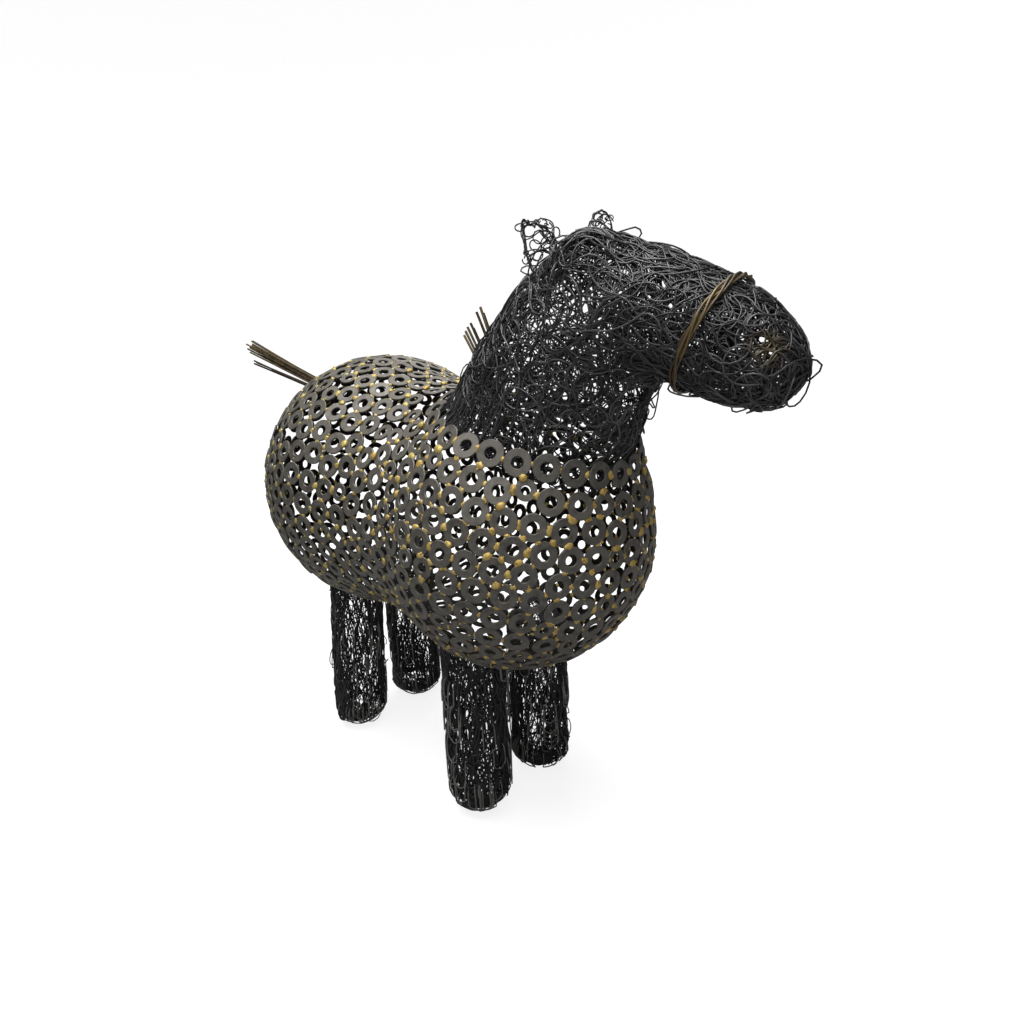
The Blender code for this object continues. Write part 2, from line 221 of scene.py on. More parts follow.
# %% Floor and lights
SWEEP_FLOOR_RADIUS = 2.2
SWEEP_CURVE_RADIUS = 1.6
SWEEP_HEIGHT = 6.0
SWEEP_SIDES = 96
SWEEP_STEPS = 16
FLOOR_PAINT = (0.34, 0.34, 0.34)
FLOOR_GLOW_NEAR = 0.83
FLOOR_GLOW_FAR = 0.90
GLOW_RANGE = (0.3, 1.6)
SKY_SHOWN = (0.96, 0.96, 0.96)
SKY_THROWN = (0.42, 0.42, 0.43)
SOFTBOXES = (
    ("overhead_softbox", (-0.25, 0.0, 2.3), (0, 0, 0.2), 1.7, 62.0),
    ("front_softbox", (-1.5, -1.5, 1.5), (0, -0.1, 0.3), 1.2, 10.0),
    ("rear_softbox", (1.6, 1.3, 1.6), (0, 0, 0.3), 1.2, 10.0),
)


def make_sweep():
    outline = [(0.0, 0.0), (SWEEP_FLOOR_RADIUS, 0.0)]
    for step in range(1, SWEEP_STEPS + 1):
        angle = pi / 2 * step / SWEEP_STEPS
        out = SWEEP_FLOOR_RADIUS + SWEEP_CURVE_RADIUS * sin(angle)
        outline.append((out, SWEEP_CURVE_RADIUS * (1 - cos(angle))))
    outline.append((SWEEP_FLOOR_RADIUS + SWEEP_CURVE_RADIUS, SWEEP_HEIGHT))
    work = bmesh.new()
    corners = [work.verts.new((out, 0, up)) for out, up in outline]
    edges = [work.edges.new(pair) for pair in zip(corners, corners[1:])]
    bmesh.ops.spin(work, geom=corners + edges, axis=(0, 0, 1), angle=tau, steps=SWEEP_SIDES)
    bmesh.ops.remove_doubles(work, verts=work.verts, dist=1e-5)
    bmesh.ops.recalc_face_normals(work, faces=work.faces)
    bmesh.ops.reverse_faces(work, faces=work.faces)
    mesh = bpy.data.meshes.new("studio_sweep")
    work.to_mesh(mesh)
    work.free()
    mesh.shade_smooth()
    sweep = add_object("studio_sweep", mesh)
    paint = bpy.data.materials.new("pale_paint")
    paint.use_nodes = True
    tree = paint.node_tree
    seen = add_node(tree, "ShaderNodeLightPath").outputs["Is Camera Ray"]
    where = add_node(tree, "ShaderNodeTexCoord").outputs["Object"]
    out = add_node(tree, "ShaderNodeVectorMath", {0: where}, operation='LENGTH').outputs["Value"]
    glow = spread(tree, out, *GLOW_RANGE, FLOOR_GLOW_NEAR, FLOOR_GLOW_FAR)
    finish = {
        "Emission Strength": work_out(tree, 'MULTIPLY', glow, seen),
        "Emission Color": (1, 1, 1, 1),
        "Base Color": opaque(FLOOR_PAINT),
        "Roughness": 0.9,
        "Specular IOR Level": 0.1,
    }
    set_inputs(tree, tree.nodes["Principled BSDF"], finish)
    mesh.materials.append(paint)
    sweep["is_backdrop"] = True


def make_sky():
    world = bpy.data.worlds.new("studio")
    world.use_nodes = True
    tree = world.node_tree
    seen = add_node(tree, "ShaderNodeLightPath").outputs["Is Camera Ray"]
    tree.links.new(mix_colours(tree, seen, SKY_THROWN, SKY_SHOWN), tree.nodes["Background"].inputs["Color"])
    STAGE.world = world


def add_softbox(name, place, target, width, power):
    """A square area light that looks at a point."""
    lamp = bpy.data.lights.new(name, 'AREA')
    lamp.shape = 'SQUARE'
    lamp.size = width
    lamp.energy = power
    box = add_object(name, lamp)
    box.location = place
    box.rotation_euler = (Vector(target) - Vector(place)).to_track_quat('-Z', 'Y').to_euler()


make_sweep()
make_sky()
for softbox in SOFTBOXES:
    add_softbox(*softbox)
STAGE.view_settings.view_transform = 'Standard'
print(f"studio: one sweep, {len(SOFTBOXES)} softboxes")

# %% [markdown]
# ## Finishes that the metals share
# Broad stains, fine grain, and a pale coat on whatever faces up, part dust and part painted light from
# above, turn up on more than one metal, so each is a node group, built once and placed in each material
# with values of its own. The washers' paler edges, part wear and part a painted rim highlight, are a
# fourth.

# %% Shared effects
def new_effect(name, inputs, outputs):
    """A shader node group with number inputs, ready to be filled."""
    group = bpy.data.node_groups.new(name, 'ShaderNodeTree')
    for label, value in inputs.items():
        socket = group.interface.new_socket(label, in_out='INPUT', socket_type='NodeSocketFloat')
        socket.default_value = value
    for label in outputs:
        group.interface.new_socket(label, in_out='OUTPUT', socket_type='NodeSocketFloat')
    return group, add_node(group, "NodeGroupInput").outputs, add_node(group, "NodeGroupOutput").inputs


def place_noise(tree, scale, detail, roughness=0.5):
    """Noise fixed to the piece, so it doesn't slide when the pony moves."""
    where = add_node(tree, "ShaderNodeTexCoord").outputs["Object"]
    inputs = {"Vector": where, "Scale": scale, "Detail": detail, "Roughness": roughness}
    return add_node(tree, "ShaderNodeTexNoise", inputs).outputs[0]


def stains_effect():
    group, given, out = new_effect("stains", {"Scale": 30.0, "Coverage": 0.5, "Softness": 0.1}, ["Mask"])
    noise = place_noise(group, given["Scale"], 4.0, 0.6)
    edge = work_out(group, 'SUBTRACT', 1.0, given["Coverage"])
    low = work_out(group, 'SUBTRACT', edge, given["Softness"])
    high = work_out(group, 'ADD', edge, given["Softness"])
    group.links.new(spread(group, noise, low, high), out["Mask"])
    return group


def grain_effect():
    group, given, out = new_effect("grain", {"Scale": 900.0, "Roughness": 0.6}, ["Height"])
    group.links.new(place_noise(group, given["Scale"], 3.0, given["Roughness"]), out["Height"])
    return group


# Paler near the edges: part wear, part a painted highlight on the rims.
def worn_and_lit_edge_effect():
    inputs = {"Edge": 0.0, "Start": 0.5, "Scale": 150.0}
    group, given, out = new_effect("worn_and_lit_edge", inputs, ["Mask"])
    near_edge = spread(group, given["Edge"], given["Start"], 1.0)
    patchy = spread(group, place_noise(group, given["Scale"], 2.0), 0.3, 0.6, 0.35, 1.0)
    group.links.new(work_out(group, 'MULTIPLY', near_edge, patchy, clamp=True), out["Mask"])
    return group


def dust_and_top_light_effect():
    group, given, out = new_effect("dust_and_top_light", {"Amount": 0.5, "Scale": 60.0}, ["Mask"])
    # Faces that point up get paler: part dust, part painted light from above.
    normal = add_node(group, "ShaderNodeNewGeometry").outputs["Normal"]
    up = add_node(group, "ShaderNodeSeparateXYZ", {0: normal}).outputs["Z"]
    facing = spread(group, up, 0.1, 1.0)
    patchy = spread(group, place_noise(group, given["Scale"], 3.0), 0.3, 0.7, 0.5, 1.0)
    dust_and_top_light_mask = work_out(group, 'MULTIPLY', facing, patchy)
    group.links.new(work_out(group, 'MULTIPLY', dust_and_top_light_mask, given["Amount"], clamp=True), out["Mask"])
    return group


EFFECTS = {
    "stains": stains_effect(),
    "grain": grain_effect(),
    "worn_and_lit_edge": worn_and_lit_edge_effect(),
    "dust_and_top_light": dust_and_top_light_effect(),
}


def use_effect(tree, name, **values):
    """Places a shared effect in a material, with the material's own values."""
    return add_node(tree, "ShaderNodeGroup", values, node_tree=EFFECTS[name]).outputs[0]


print("effects:", ", ".join(EFFECTS))

# %% [markdown]
# ## The metals
# The washers are mild steel, browned by the torch, with paler edges, part wear and part a painted rim
# highlight, pale dust on the back that is also painted light from above, and inner faces painted near
# black as shade inside the body. The wire is black annealed wire with a soft grey gloss, and the
# hairpins on the legs are a paler copy of the same wire, painted lighter as light on them. The rods are
# brown bronze with painted golden highlights in streaks. The braze is a rough golden ochre with dark
# flux in its hollows.

# %% Metals
WASHER_DARK = (0.050, 0.048, 0.041)
WASHER_PALE = (0.082, 0.078, 0.069)
# Paler edge colour: part wear, part painted rim highlight.
WASHER_WORN_AND_LIT_EDGE = (0.17, 0.158, 0.138)
# Painted shade: the washers' inner faces, inside the hollow body, are drawn near black.
WASHER_INNER_SHADE = (0.011, 0.010, 0.009)
# Pale dust, also painted on up-facing faces as light from above.
WASHER_DUST_AND_TOP_LIGHT = (0.215, 0.195, 0.160)
HEAT_TINT = (0.42, 0.17, 0.05)
WIRE_BLACK = (0.018, 0.018, 0.019)
WIRE_GREY = (0.135, 0.130, 0.134)
# Painted light: a paler grey for the leg hairpins, as if they caught the light.
WIRE_PAINTED_LIGHT = (0.29, 0.285, 0.27)
WIRE_OLIVE = (0.105, 0.080, 0.035)
# Pale dust, also painted on up-facing wire as light from above.
WIRE_DUST_AND_TOP_LIGHT = (0.20, 0.195, 0.19)
ROD_BROWN = (0.165, 0.120, 0.064)
ROD_DARK = (0.028, 0.024, 0.020)
# Painted highlight: gold laid in streaks over the bronze.
ROD_PAINTED_HIGHLIGHT = (0.34, 0.24, 0.10)
BRAZE_OCHRE = (0.54, 0.355, 0.085)
BRAZE_YELLOW = (0.50, 0.415, 0.135)
BRAZE_PALE = (0.74, 0.62, 0.27)
BRAZE_FLUX = (0.13, 0.090, 0.028)


def new_metal(name, metallic):
    """A material with a Principled shader, and the tree to fill."""
    metal = bpy.data.materials.new(name)
    metal.use_nodes = True
    shader = metal.node_tree.nodes["Principled BSDF"]
    shader.inputs["Metallic"].default_value = metallic
    return metal, metal.node_tree, shader


def finish_metal(tree, shader, colour, roughness, height, depth):
    """Joins a colour, a roughness and a bumpy height to the shader."""
    bump = add_node(tree, "ShaderNodeBump", {"Height": height, "Distance": depth, "Strength": 0.6})
    inputs = {"Base Color": colour, "Roughness": roughness, "Normal": bump.outputs["Normal"]}
    set_inputs(tree, shader, inputs)


def washer_metal():
    metal, tree, shader = new_metal("washer_steel", 0.45)
    tone = read_attribute(tree, "tone")
    stains = use_effect(tree, "stains", Scale=70.0, Coverage=0.5, Softness=0.14)
    grain = use_effect(tree, "grain", Scale=1100.0)
    colour = mix_colours(tree, stains, WASHER_DARK, WASHER_PALE)
    shade = spread(tree, tone, 0.0, 1.0, 0.72, 1.25)
    dimmed = add_node(tree, "ShaderNodeCombineColor", {0: shade, 1: shade, 2: shade}).outputs[0]
    colour = mix_colours(tree, 1.0, colour, dimmed, 'MULTIPLY')
    wear_and_rim_highlight = use_effect(tree, "worn_and_lit_edge", Edge=read_attribute(tree, "edge"), Start=0.45, Scale=180.0)
    heat = read_attribute(tree, "heat")
    colour = coat(
        tree,
        colour,
        (spread(tree, grain, 0.35, 0.7, 0.0, 0.35), WASHER_DARK),
        # Edges: part wear, part painted rim highlight.
        (wear_and_rim_highlight, WASHER_WORN_AND_LIT_EDGE),
        (work_out(tree, 'MULTIPLY', heat, spread(tree, stains, 0.0, 1.0, 0.5, 1.0), clamp=True), HEAT_TINT),
        # Dust and painted light from above, on faces that point up.
        (use_effect(tree, "dust_and_top_light", Amount=0.48, Scale=80.0), WASHER_DUST_AND_TOP_LIGHT),
        # Painted shade inside the body: each washer's inner face is made near black.
        (read_attribute(tree, "inner"), WASHER_INNER_SHADE),
    )
    roughness = spread(tree, stains, 0.0, 1.0, 0.46, 0.62)
    finish_metal(tree, shader, colour, roughness, grain, 0.00012)
    return metal


def wire_metal(name, grey):
    metal, tree, shader = new_metal(name, 0.35)
    tone = read_attribute(tree, "tone")
    stains = use_effect(tree, "stains", Scale=55.0, Coverage=0.45, Softness=0.2)
    grain = use_effect(tree, "grain", Scale=1500.0)
    colour = coat(
        tree,
        WIRE_BLACK,
        (tone, grey),
        (work_out(tree, 'MULTIPLY', stains, 0.5), WIRE_BLACK),
        (read_attribute(tree, "olive"), WIRE_OLIVE),
        # Dust and painted light from above, on wire that faces up.
        (use_effect(tree, "dust_and_top_light", Amount=0.12, Scale=70.0), WIRE_DUST_AND_TOP_LIGHT),
    )
    roughness = spread(tree, grain, 0.3, 0.7, 0.30, 0.46)
    finish_metal(tree, shader, colour, roughness, grain, 0.00006)
    return metal


def rod_metal():
    metal, tree, shader = new_metal("bronze_rod", 0.55)
    tone = read_attribute(tree, "tone")
    stains = use_effect(tree, "stains", Scale=85.0, Coverage=0.55, Softness=0.12)
    grain = use_effect(tree, "grain", Scale=1400.0)
    colour = coat(
        tree,
        ROD_DARK,
        (tone, ROD_BROWN),
        # Painted golden highlights, laid in streaks by the stains noise.
        (work_out(tree, 'MULTIPLY', stains, spread(tree, tone, 0.3, 1.0, 0.15, 0.85)), ROD_PAINTED_HIGHLIGHT),
        # Dust and painted light from above, on rods that face up.
        (use_effect(tree, "dust_and_top_light", Amount=0.25, Scale=90.0), WASHER_DUST_AND_TOP_LIGHT),
    )
    roughness = spread(tree, grain, 0.3, 0.7, 0.34, 0.5)
    finish_metal(tree, shader, colour, roughness, grain, 0.00006)
    return metal


def braze_metal():
    metal, tree, shader = new_metal("braze", 0.35)
    stains = use_effect(tree, "stains", Scale=240.0, Coverage=0.40, Softness=0.12)
    flux = use_effect(tree, "stains", Scale=520.0, Coverage=0.40, Softness=0.06)
    grain = use_effect(tree, "grain", Scale=900.0)
    heat = read_attribute(tree, "heat")
    colour = coat(
        tree,
        BRAZE_YELLOW,
        (read_attribute(tree, "tone"), BRAZE_OCHRE),
        (work_out(tree, 'MULTIPLY', stains, 0.7), BRAZE_PALE),
        (work_out(tree, 'MULTIPLY', flux, 0.7), BRAZE_FLUX),
        (work_out(tree, 'MULTIPLY', heat, 0.6, clamp=True), HEAT_TINT),
    )
    roughness = spread(tree, grain, 0.3, 0.7, 0.42, 0.62)
    finish_metal(tree, shader, colour, roughness, grain, 0.0004)
    return metal


WASHER_METAL = washer_metal()
WIRE_METAL = wire_metal("black_wire", WIRE_GREY)
# A paler copy of the wire, printed below as rubbed wire, paints light on the leg hairpins.
LIT_WIRE_METAL = wire_metal("rubbed_wire", WIRE_PAINTED_LIGHT)
ROD_METAL = rod_metal()
BRAZE_METAL = braze_metal()
print("metals: washer steel, black wire, rubbed wire, bronze rod, braze")

# %% [markdown]
# ## Growing a piece from a tree
# A Geometry Nodes tree is the maker's jig. It takes a light mesh, such as one point for each
# washer, and grows the metal on it. Its sizes are named inputs. The result is kept as a plain
# mesh, and the modifier is taken off again.

# %% Growing helpers
def new_jig(name, sizes, count):
    """A Geometry Nodes tree whose inputs are a mesh, named lengths, a named count and a metal."""
    tree = bpy.data.node_groups.new(name, 'GeometryNodeTree')
    kinds = {"Geometry": 'Geometry', **dict.fromkeys(sizes, 'Float'), count: 'Int', "Metal": 'Material'}
    for label, kind in kinds.items():
        tree.interface.new_socket(label, in_out='INPUT', socket_type='NodeSocket' + kind)
    tree.interface.new_socket("Geometry", in_out='OUTPUT', socket_type='NodeSocketGeometry')
    return tree, add_node(tree, "NodeGroupInput").outputs


def end_jig(tree, grown, metal):
    """Makes the instances real, gives them their metal and ends the tree."""
    real = add_node(tree, "GeometryNodeRealizeInstances", {"Geometry": grown}).outputs[0]
    coated = add_node(tree, "GeometryNodeSetMaterial", {"Geometry": real, "Material": metal}).outputs[0]
    add_node(tree, "NodeGroupOutput", {0: coated})
    return tree


def read_field(tree, name, data_type='FLOAT'):
    """A value that each point of the jig's mesh carries."""
    field = add_node(tree, "GeometryNodeInputNamedAttribute", {"Name": name}, data_type=data_type)
    return field.outputs["Attribute"]


def turn_to(tree, name, axis, inputs=None, **settings):
    """The rotation that turns an axis to the direction that each point carries."""
    inputs = {"Vector": read_field(tree, name, 'FLOAT_VECTOR'), **(inputs or {})}
    return add_node(tree, "FunctionNodeAlignRotationToVector", inputs, axis=axis, **settings).outputs[0]


def set_copies(tree, points, shape, rotation):
    """Sets a copy of a shape on each point, in the size that the point carries."""
    size = read_field(tree, "size", 'FLOAT_VECTOR')
    inputs = {"Points": points, "Instance": shape, "Rotation": rotation, "Scale": size}
    return add_node(tree, "GeometryNodeInstanceOnPoints", inputs).outputs[0]


def grow(name, seed, tree, sizes):
    """Runs a jig on a mesh and keeps what it grows as a plain object."""
    source = add_object(name + "_seed", seed)
    modifier = source.modifiers.new("Jig", 'NODES')
    modifier.node_group = tree
    for item in tree.interface.items_tree:
        if item.in_out == 'INPUT' and item.name in sizes:
            modifier[item.identifier] = sizes[item.name]
    evaluated = source.evaluated_get(bpy.context.evaluated_depsgraph_get())
    mesh = bpy.data.meshes.new_from_object(evaluated)
    mesh.name = name
    source.modifiers.remove(modifier)
    bpy.data.objects.remove(source)
    return add_object(name, mesh)


def seed_mesh(name, points, edges=(), numbers=None, directions=None):
    """A light mesh of points, with a number or a direction for each."""
    mesh = bpy.data.meshes.new(name)
    mesh.from_pydata([tuple(point) for point in points], list(edges), [])
    for label, values in (numbers or {}).items():
        field = mesh.attributes.new(label, 'FLOAT', 'POINT')
        field.data.foreach_set("value", np.asarray(values, np.float32))
    for label, values in (directions or {}).items():
        field = mesh.attributes.new(label, 'FLOAT_VECTOR', 'POINT')
        field.data.foreach_set("vector", np.asarray(values, np.float32).ravel())
    return mesh


def count_triangles(piece):
    return sum(len(face.vertices) - 2 for face in piece.data.polygons)


def fit_piece(piece, slot, *nodes):
    """Joins a finished piece to the pony and hides the solids that it stands for."""
    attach(piece, "root")
    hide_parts(*nodes)
    print(f"{piece.name}: {count_triangles(piece)} triangles")

# %% [markdown]
# ## The outside of a hollow solid
# Wire has to be laid on something. Each solid is a hollow wall of loose triangles, so a copy of
# it is merged, its inner wall is taken off and what is left is smoothed. The spine is a short
# line through the middle of the solid: a face that looks away from it is an outer one. Smoothing
# pulls corners in, so each corner is first moved out by as much.

# %% Skins
MERGE_DISTANCE = 1e-5
OUTER_FACING = 0.3
WIRE_TRIES = 14
HAIRPIN_TRIES = 10


def nearest_on_spine(point, spine):
    """The nearest point of a line of points, and the direction that the line runs in there."""
    best = None
    for start, end in zip(spine, spine[1:]):
        run = end - start
        share = max(0.0, min(1.0, (point - start).dot(run) / run.length_squared))
        place = start + run * share
        distance = (point - place).length
        if best is None or distance < best[0]:
            best = (distance, place, run.normalized())
    return best[1], best[2]


def outer_mesh(node, spine):
    """A smoothed copy of the outer wall of a hollow node."""
    work = bmesh.new()
    work.from_mesh(frame["nodes"][node].data)
    bmesh.ops.remove_doubles(work, verts=work.verts, dist=MERGE_DISTANCE)
    inner = []
    for face in work.faces:
        middle = face.calc_center_median()
        away = (middle - nearest_on_spine(middle, spine)[0]).normalized()
        if face.normal.dot(away) < OUTER_FACING:
            inner.append(face)
    bmesh.ops.delete(work, geom=inner, context='FACES')
    mesh = bpy.data.meshes.new(node + "_skin")
    work.to_mesh(mesh)
    work.free()
    for vertex, rounded in zip(mesh.vertices, list(smoothed(mesh).vertices)):
        vertex.co = vertex.co * 2 - rounded.co
    return smoothed(mesh)


def smoothed(mesh):
    """A copy with each face divided and rounded off. The first corners match the mesh's own."""
    holder = add_object("skin", mesh)
    smoother = holder.modifiers.new("Smooth", 'SUBSURF')
    smoother.levels = 1
    smoother.render_levels = 1
    evaluated = holder.evaluated_get(bpy.context.evaluated_depsgraph_get())
    copy = bpy.data.meshes.new_from_object(evaluated)
    bpy.data.objects.remove(holder)
    return copy


class Skin:
    """A sheet that wire can be laid on. It remembers how much wire lies on each of its faces."""

    def __init__(self, node, spine):
        mesh = outer_mesh(node, spine)
        places = [vertex.co.copy() for vertex in mesh.vertices]
        faces = [tuple(face.vertices) for face in mesh.polygons]
        self.tree = BVHTree.FromPolygons(places, faces)
        self.faces = [[places[corner] for corner in face] for face in faces]
        self.areas = np.array([face.area for face in mesh.polygons])
        self.sums = np.cumsum(self.areas)
        self.laid = np.zeros(len(faces))
        self.spine = spine

    def nearest(self, point):
        """The nearest place, its outward direction, its face and how far off it is."""
        return self.tree.find_nearest(point)

    def pick(self, dice, tries=WIRE_TRIES):
        """A point of the skin, where the least wire lies of a few tries."""
        best = None
        for _ in range(tries):
            index = int(np.searchsorted(self.sums, dice.random() * self.sums[-1]))
            thickness = self.laid[index] / self.areas[index]
            if best is None or thickness < best[0]:
                best = (thickness, index)
        corners = self.faces[best[1]]
        first, second = sorted((dice.random(), dice.random()))
        return corners[0] * first + corners[1] * (second - first) + corners[2] * (1 - second)


NECK_SPINE = [
    Vector((0, -0.145, 0.345)),
    Vector((0, -0.172, 0.401)),
    Vector((0, -0.210, 0.453)),
    Vector((0, -0.259, 0.481)),
    Vector((0, -0.322, 0.458)),
    Vector((0, -0.362, 0.436)),
]
NECK_SKIN = Skin("head_and_neck", NECK_SPINE)
print(f"neck and head: {NECK_SKIN.sums[-1] * 1e4:.0f} square centimetres of skin")

# %% [markdown]
# ## The body's own curve
# The body is two round lobes and a shallow waist, turned about one axis that rises to the rear.
# A formula gives a smoother sheet than the solid's flat facets do: a point is moved to the
# nearest place on the front ball, the rear ball or the hollow arc between them.

# %% Body curve
FRONT_LOBE_RADIUS = 0.126
REAR_LOBE_RADIUS = 0.135
LOBE_SPACING = 0.195
WAIST_FILLET = 0.25
BODY_RISE = radians(6.5)
FRONT_CENTRE = np.array((0.0, -0.1318, 0.285))
BODY_AXIS = np.array((0.0, cos(BODY_RISE), sin(BODY_RISE)))
TO_FRONT = FRONT_LOBE_RADIUS + WAIST_FILLET
TO_REAR = REAR_LOBE_RADIUS + WAIST_FILLET
WAIST_PLACE = (LOBE_SPACING ** 2 + TO_FRONT ** 2 - TO_REAR ** 2) / (2 * LOBE_SPACING)
WAIST_OUT = sqrt(TO_FRONT ** 2 - WAIST_PLACE ** 2)
OUTLINE_POINTS = 4000
OUTLINE_GUESS = (0.24, 0.15)


def unit(rows):
    """Each row of numbers as a direction one long."""
    return rows / np.maximum(np.linalg.norm(rows, axis=-1, keepdims=True), 1e-12)


def onto_body(points):
    """The nearest places on the body's curve, and the outward direction at each."""
    offset = points - FRONT_CENTRE
    along = offset @ BODY_AXIS
    away = offset - np.outer(along, BODY_AXIS)
    reach = np.linalg.norm(away, axis=1)
    away = unit(away)
    past_front = along * WAIST_OUT > reach * WAIST_PLACE
    past_rear = (along - LOBE_SPACING) * WAIST_OUT > reach * (WAIST_PLACE - LOBE_SPACING)
    waist = past_front & ~past_rear
    centre = np.zeros((len(points), 2))
    centre[past_rear] = (LOBE_SPACING, 0.0)
    centre[waist] = (WAIST_PLACE, WAIST_OUT)
    radius = np.where(past_rear, REAR_LOBE_RADIUS, FRONT_LOBE_RADIUS)
    radius = np.where(waist, -WAIST_FILLET, radius)
    outward = unit(np.stack((along, reach), axis=1) - centre) * np.sign(radius)[:, None]
    place = centre + outward * radius[:, None]
    skin = FRONT_CENTRE + np.outer(place[:, 0], BODY_AXIS) + away * place[:, 1:]
    return skin, np.outer(outward[:, 0], BODY_AXIS) + away * outward[:, 1:]


def body_outline():
    """The body's profile from the chest to the tail: how far along, how far out, and its length."""
    turn = np.linspace(0.0, pi, OUTLINE_POINTS)
    middle = FRONT_CENTRE + BODY_AXIS * LOBE_SPACING / 2
    long, wide = OUTLINE_GUESS
    guess = middle - np.outer(long * np.cos(turn), BODY_AXIS) + np.outer(wide * np.sin(turn), (1, 0, 0))
    outline, _ = onto_body(guess)
    steps = np.linalg.norm(np.diff(outline, axis=0), axis=1)
    return (outline - FRONT_CENTRE) @ BODY_AXIS, outline[:, 0], np.concatenate(((0.0,), np.cumsum(steps)))


def round_body(along, out, turn):
    """Places round the body's axis. A turn of 0 is the pony's left side."""
    side = np.outer(np.cos(turn), (1, 0, 0)) + np.outer(np.sin(turn), np.cross(BODY_AXIS, (1, 0, 0)))
    return FRONT_CENTRE + np.outer(along, BODY_AXIS) + side * out[:, None]


def body_spiral(count):
    """Points spread evenly over the whole body, on a spiral that turns by the golden angle."""
    along, out, length = body_outline()
    bands = np.diff(length) * (out[1:] + out[:-1]) * pi
    areas = np.concatenate(((0.0,), np.cumsum(bands)))
    shares = (np.arange(count) + 0.5) / count * areas[-1]
    turn = np.arange(count) * pi * (3 - sqrt(5))
    return round_body(np.interp(shares, areas, along), np.interp(shares, areas, out), turn), areas[-1]


BODY_AREA = body_spiral(8)[1]
print(f"body: {BODY_AREA * 1e4:.0f} square centimetres of sheet")

# %% [markdown]
# ## Where the washers lie
# The maker started with a collar of washers round the neck and went down from it row by row, and
# round the rear in rows of its own. Rows can't run true on a round form, so they wander, and a
# smaller washer fills a hole where a full one wouldn't go. The script does the same. The washers
# push each other along the sheet until none lies on another, and the holes that this opens are
# filled and pushed once more.

# %% Washer layout
WASHER_DIAMETER = 0.0220
BORE_SHARE = 0.43
WASHER_THICKNESS = 0.0021
SMALL_WASHERS = ((0.86, 1.0), (0.95, 0.86), (1.0, 0.78))
JOINT_GAP = 0.0003
ROW_STEP = 0.0206
ROW_START_FRONT = radians(228)
ROW_START_REAR = radians(205)
LOWEST_ROW = radians(168)
FILLER_SIZE = 0.78
FILLER_ROOM = 0.80
FILLER_TRIES = 6000
FILLER_ROUNDS = 2
SEAM_ROOM = 0.62
COLLAR_STRETCH = 0.20
COLLAR_CLEARANCE_FRONT = -0.0030
COLLAR_CLEARANCE_BACK = 0.0080
COLLAR_RISE_FRONT = radians(32)
COLLAR_RISE_BACK = radians(6)
SHOULDER_RISE = 0.0120
SHOULDER_START = radians(72)
SHOULDER_END = radians(38)
COLLAR_AXIS = unit(np.array((0.0, -0.033, 0.110)))
COLLAR_SIDE = np.array((1.0, 0.0, 0.0))
COLLAR_BEHIND = np.cross(COLLAR_AXIS, COLLAR_SIDE)
COLLAR_SEARCH = (0.15, 1.35)
SEARCH_HALVINGS = 18
INSIDE_REACH = 1.2
INSIDE_ROOM = 0.8
ROW_MARKS = 240
PUSH_SWEEPS = 500
PUSH_SHARE = 0.42
NEIGHBOUR_SWEEPS = 20
NEIGHBOUR_REACH = 2.6
WASHER_WOBBLE = radians(3.0)


def off_the_neck(point):
    """How far a point is outside the neck. It is negative inside."""
    place, normal, _, _ = NECK_SKIN.nearest(Vector(point))
    return (Vector(point) - place).dot(normal)


def throat_share(turn):
    """How near a turn round the neck is to the throat, from 0 at the nape to 1."""
    return (0.5 - 0.5 * sin(turn)) ** 2


def beside_the_neck(turn, clearance=0.0):
    """The place on the body that the collar runs through. A turn of 0 is the pony's left side."""
    side = COLLAR_SIDE * cos(turn) + COLLAR_BEHIND * sin(turn)
    front = throat_share(turn)
    clearance += COLLAR_CLEARANCE_BACK + (COLLAR_CLEARANCE_FRONT - COLLAR_CLEARANCE_BACK) * front
    low, high = COLLAR_SEARCH
    for _ in range(SEARCH_HALVINGS):
        angle = (low + high) / 2
        guess = FRONT_CENTRE + (COLLAR_AXIS * cos(angle) + side * sin(angle)) * FRONT_LOBE_RADIUS
        place = onto_body(guess[None])[0][0]
        if off_the_neck(place) < clearance:
            low = angle
        else:
            high = angle
    return place


def collar_line():
    """The closed line of the collar, and how much its washers spread as they tip up."""
    turns = np.linspace(ROW_START_FRONT, ROW_START_FRONT + tau, ROW_MARKS)
    stretch = [1 + COLLAR_STRETCH * throat_share(turn) for turn in turns]
    return np.array([beside_the_neck(turn) for turn in turns]), np.array(stretch)


def space_out(line, stretch=None):
    """Places along a closed line, a washer's width apart once the line is stretched."""
    steps = np.linalg.norm(np.diff(line, axis=0), axis=1)
    if stretch is not None:
        steps = steps * stretch[1:]
    lengths = np.concatenate(((0.0,), np.cumsum(steps)))
    count = max(1, int(lengths[-1] / (WASHER_DIAMETER + JOINT_GAP)))
    marks = np.arange(count) / count * lengths[-1]
    return np.stack([np.interp(marks, lengths, line[:, axis]) for axis in range(3)], axis=1)


def front_rows(line):
    """Rows below the collar, each one step further down the front lobe."""
    outward = unit(line - FRONT_CENTRE)
    angle = np.arccos(outward @ COLLAR_AXIS)
    away = unit(outward - np.outer(outward @ COLLAR_AXIS, COLLAR_AXIS))
    rows = []
    while True:
        angle = angle + ROW_STEP / FRONT_LOBE_RADIUS
        if angle.max() > LOWEST_ROW:
            return np.vstack(rows)
        ring = np.outer(np.cos(angle), COLLAR_AXIS) + away * np.sin(angle)[:, None]
        rows.append(space_out(FRONT_CENTRE + ring * FRONT_LOBE_RADIUS))


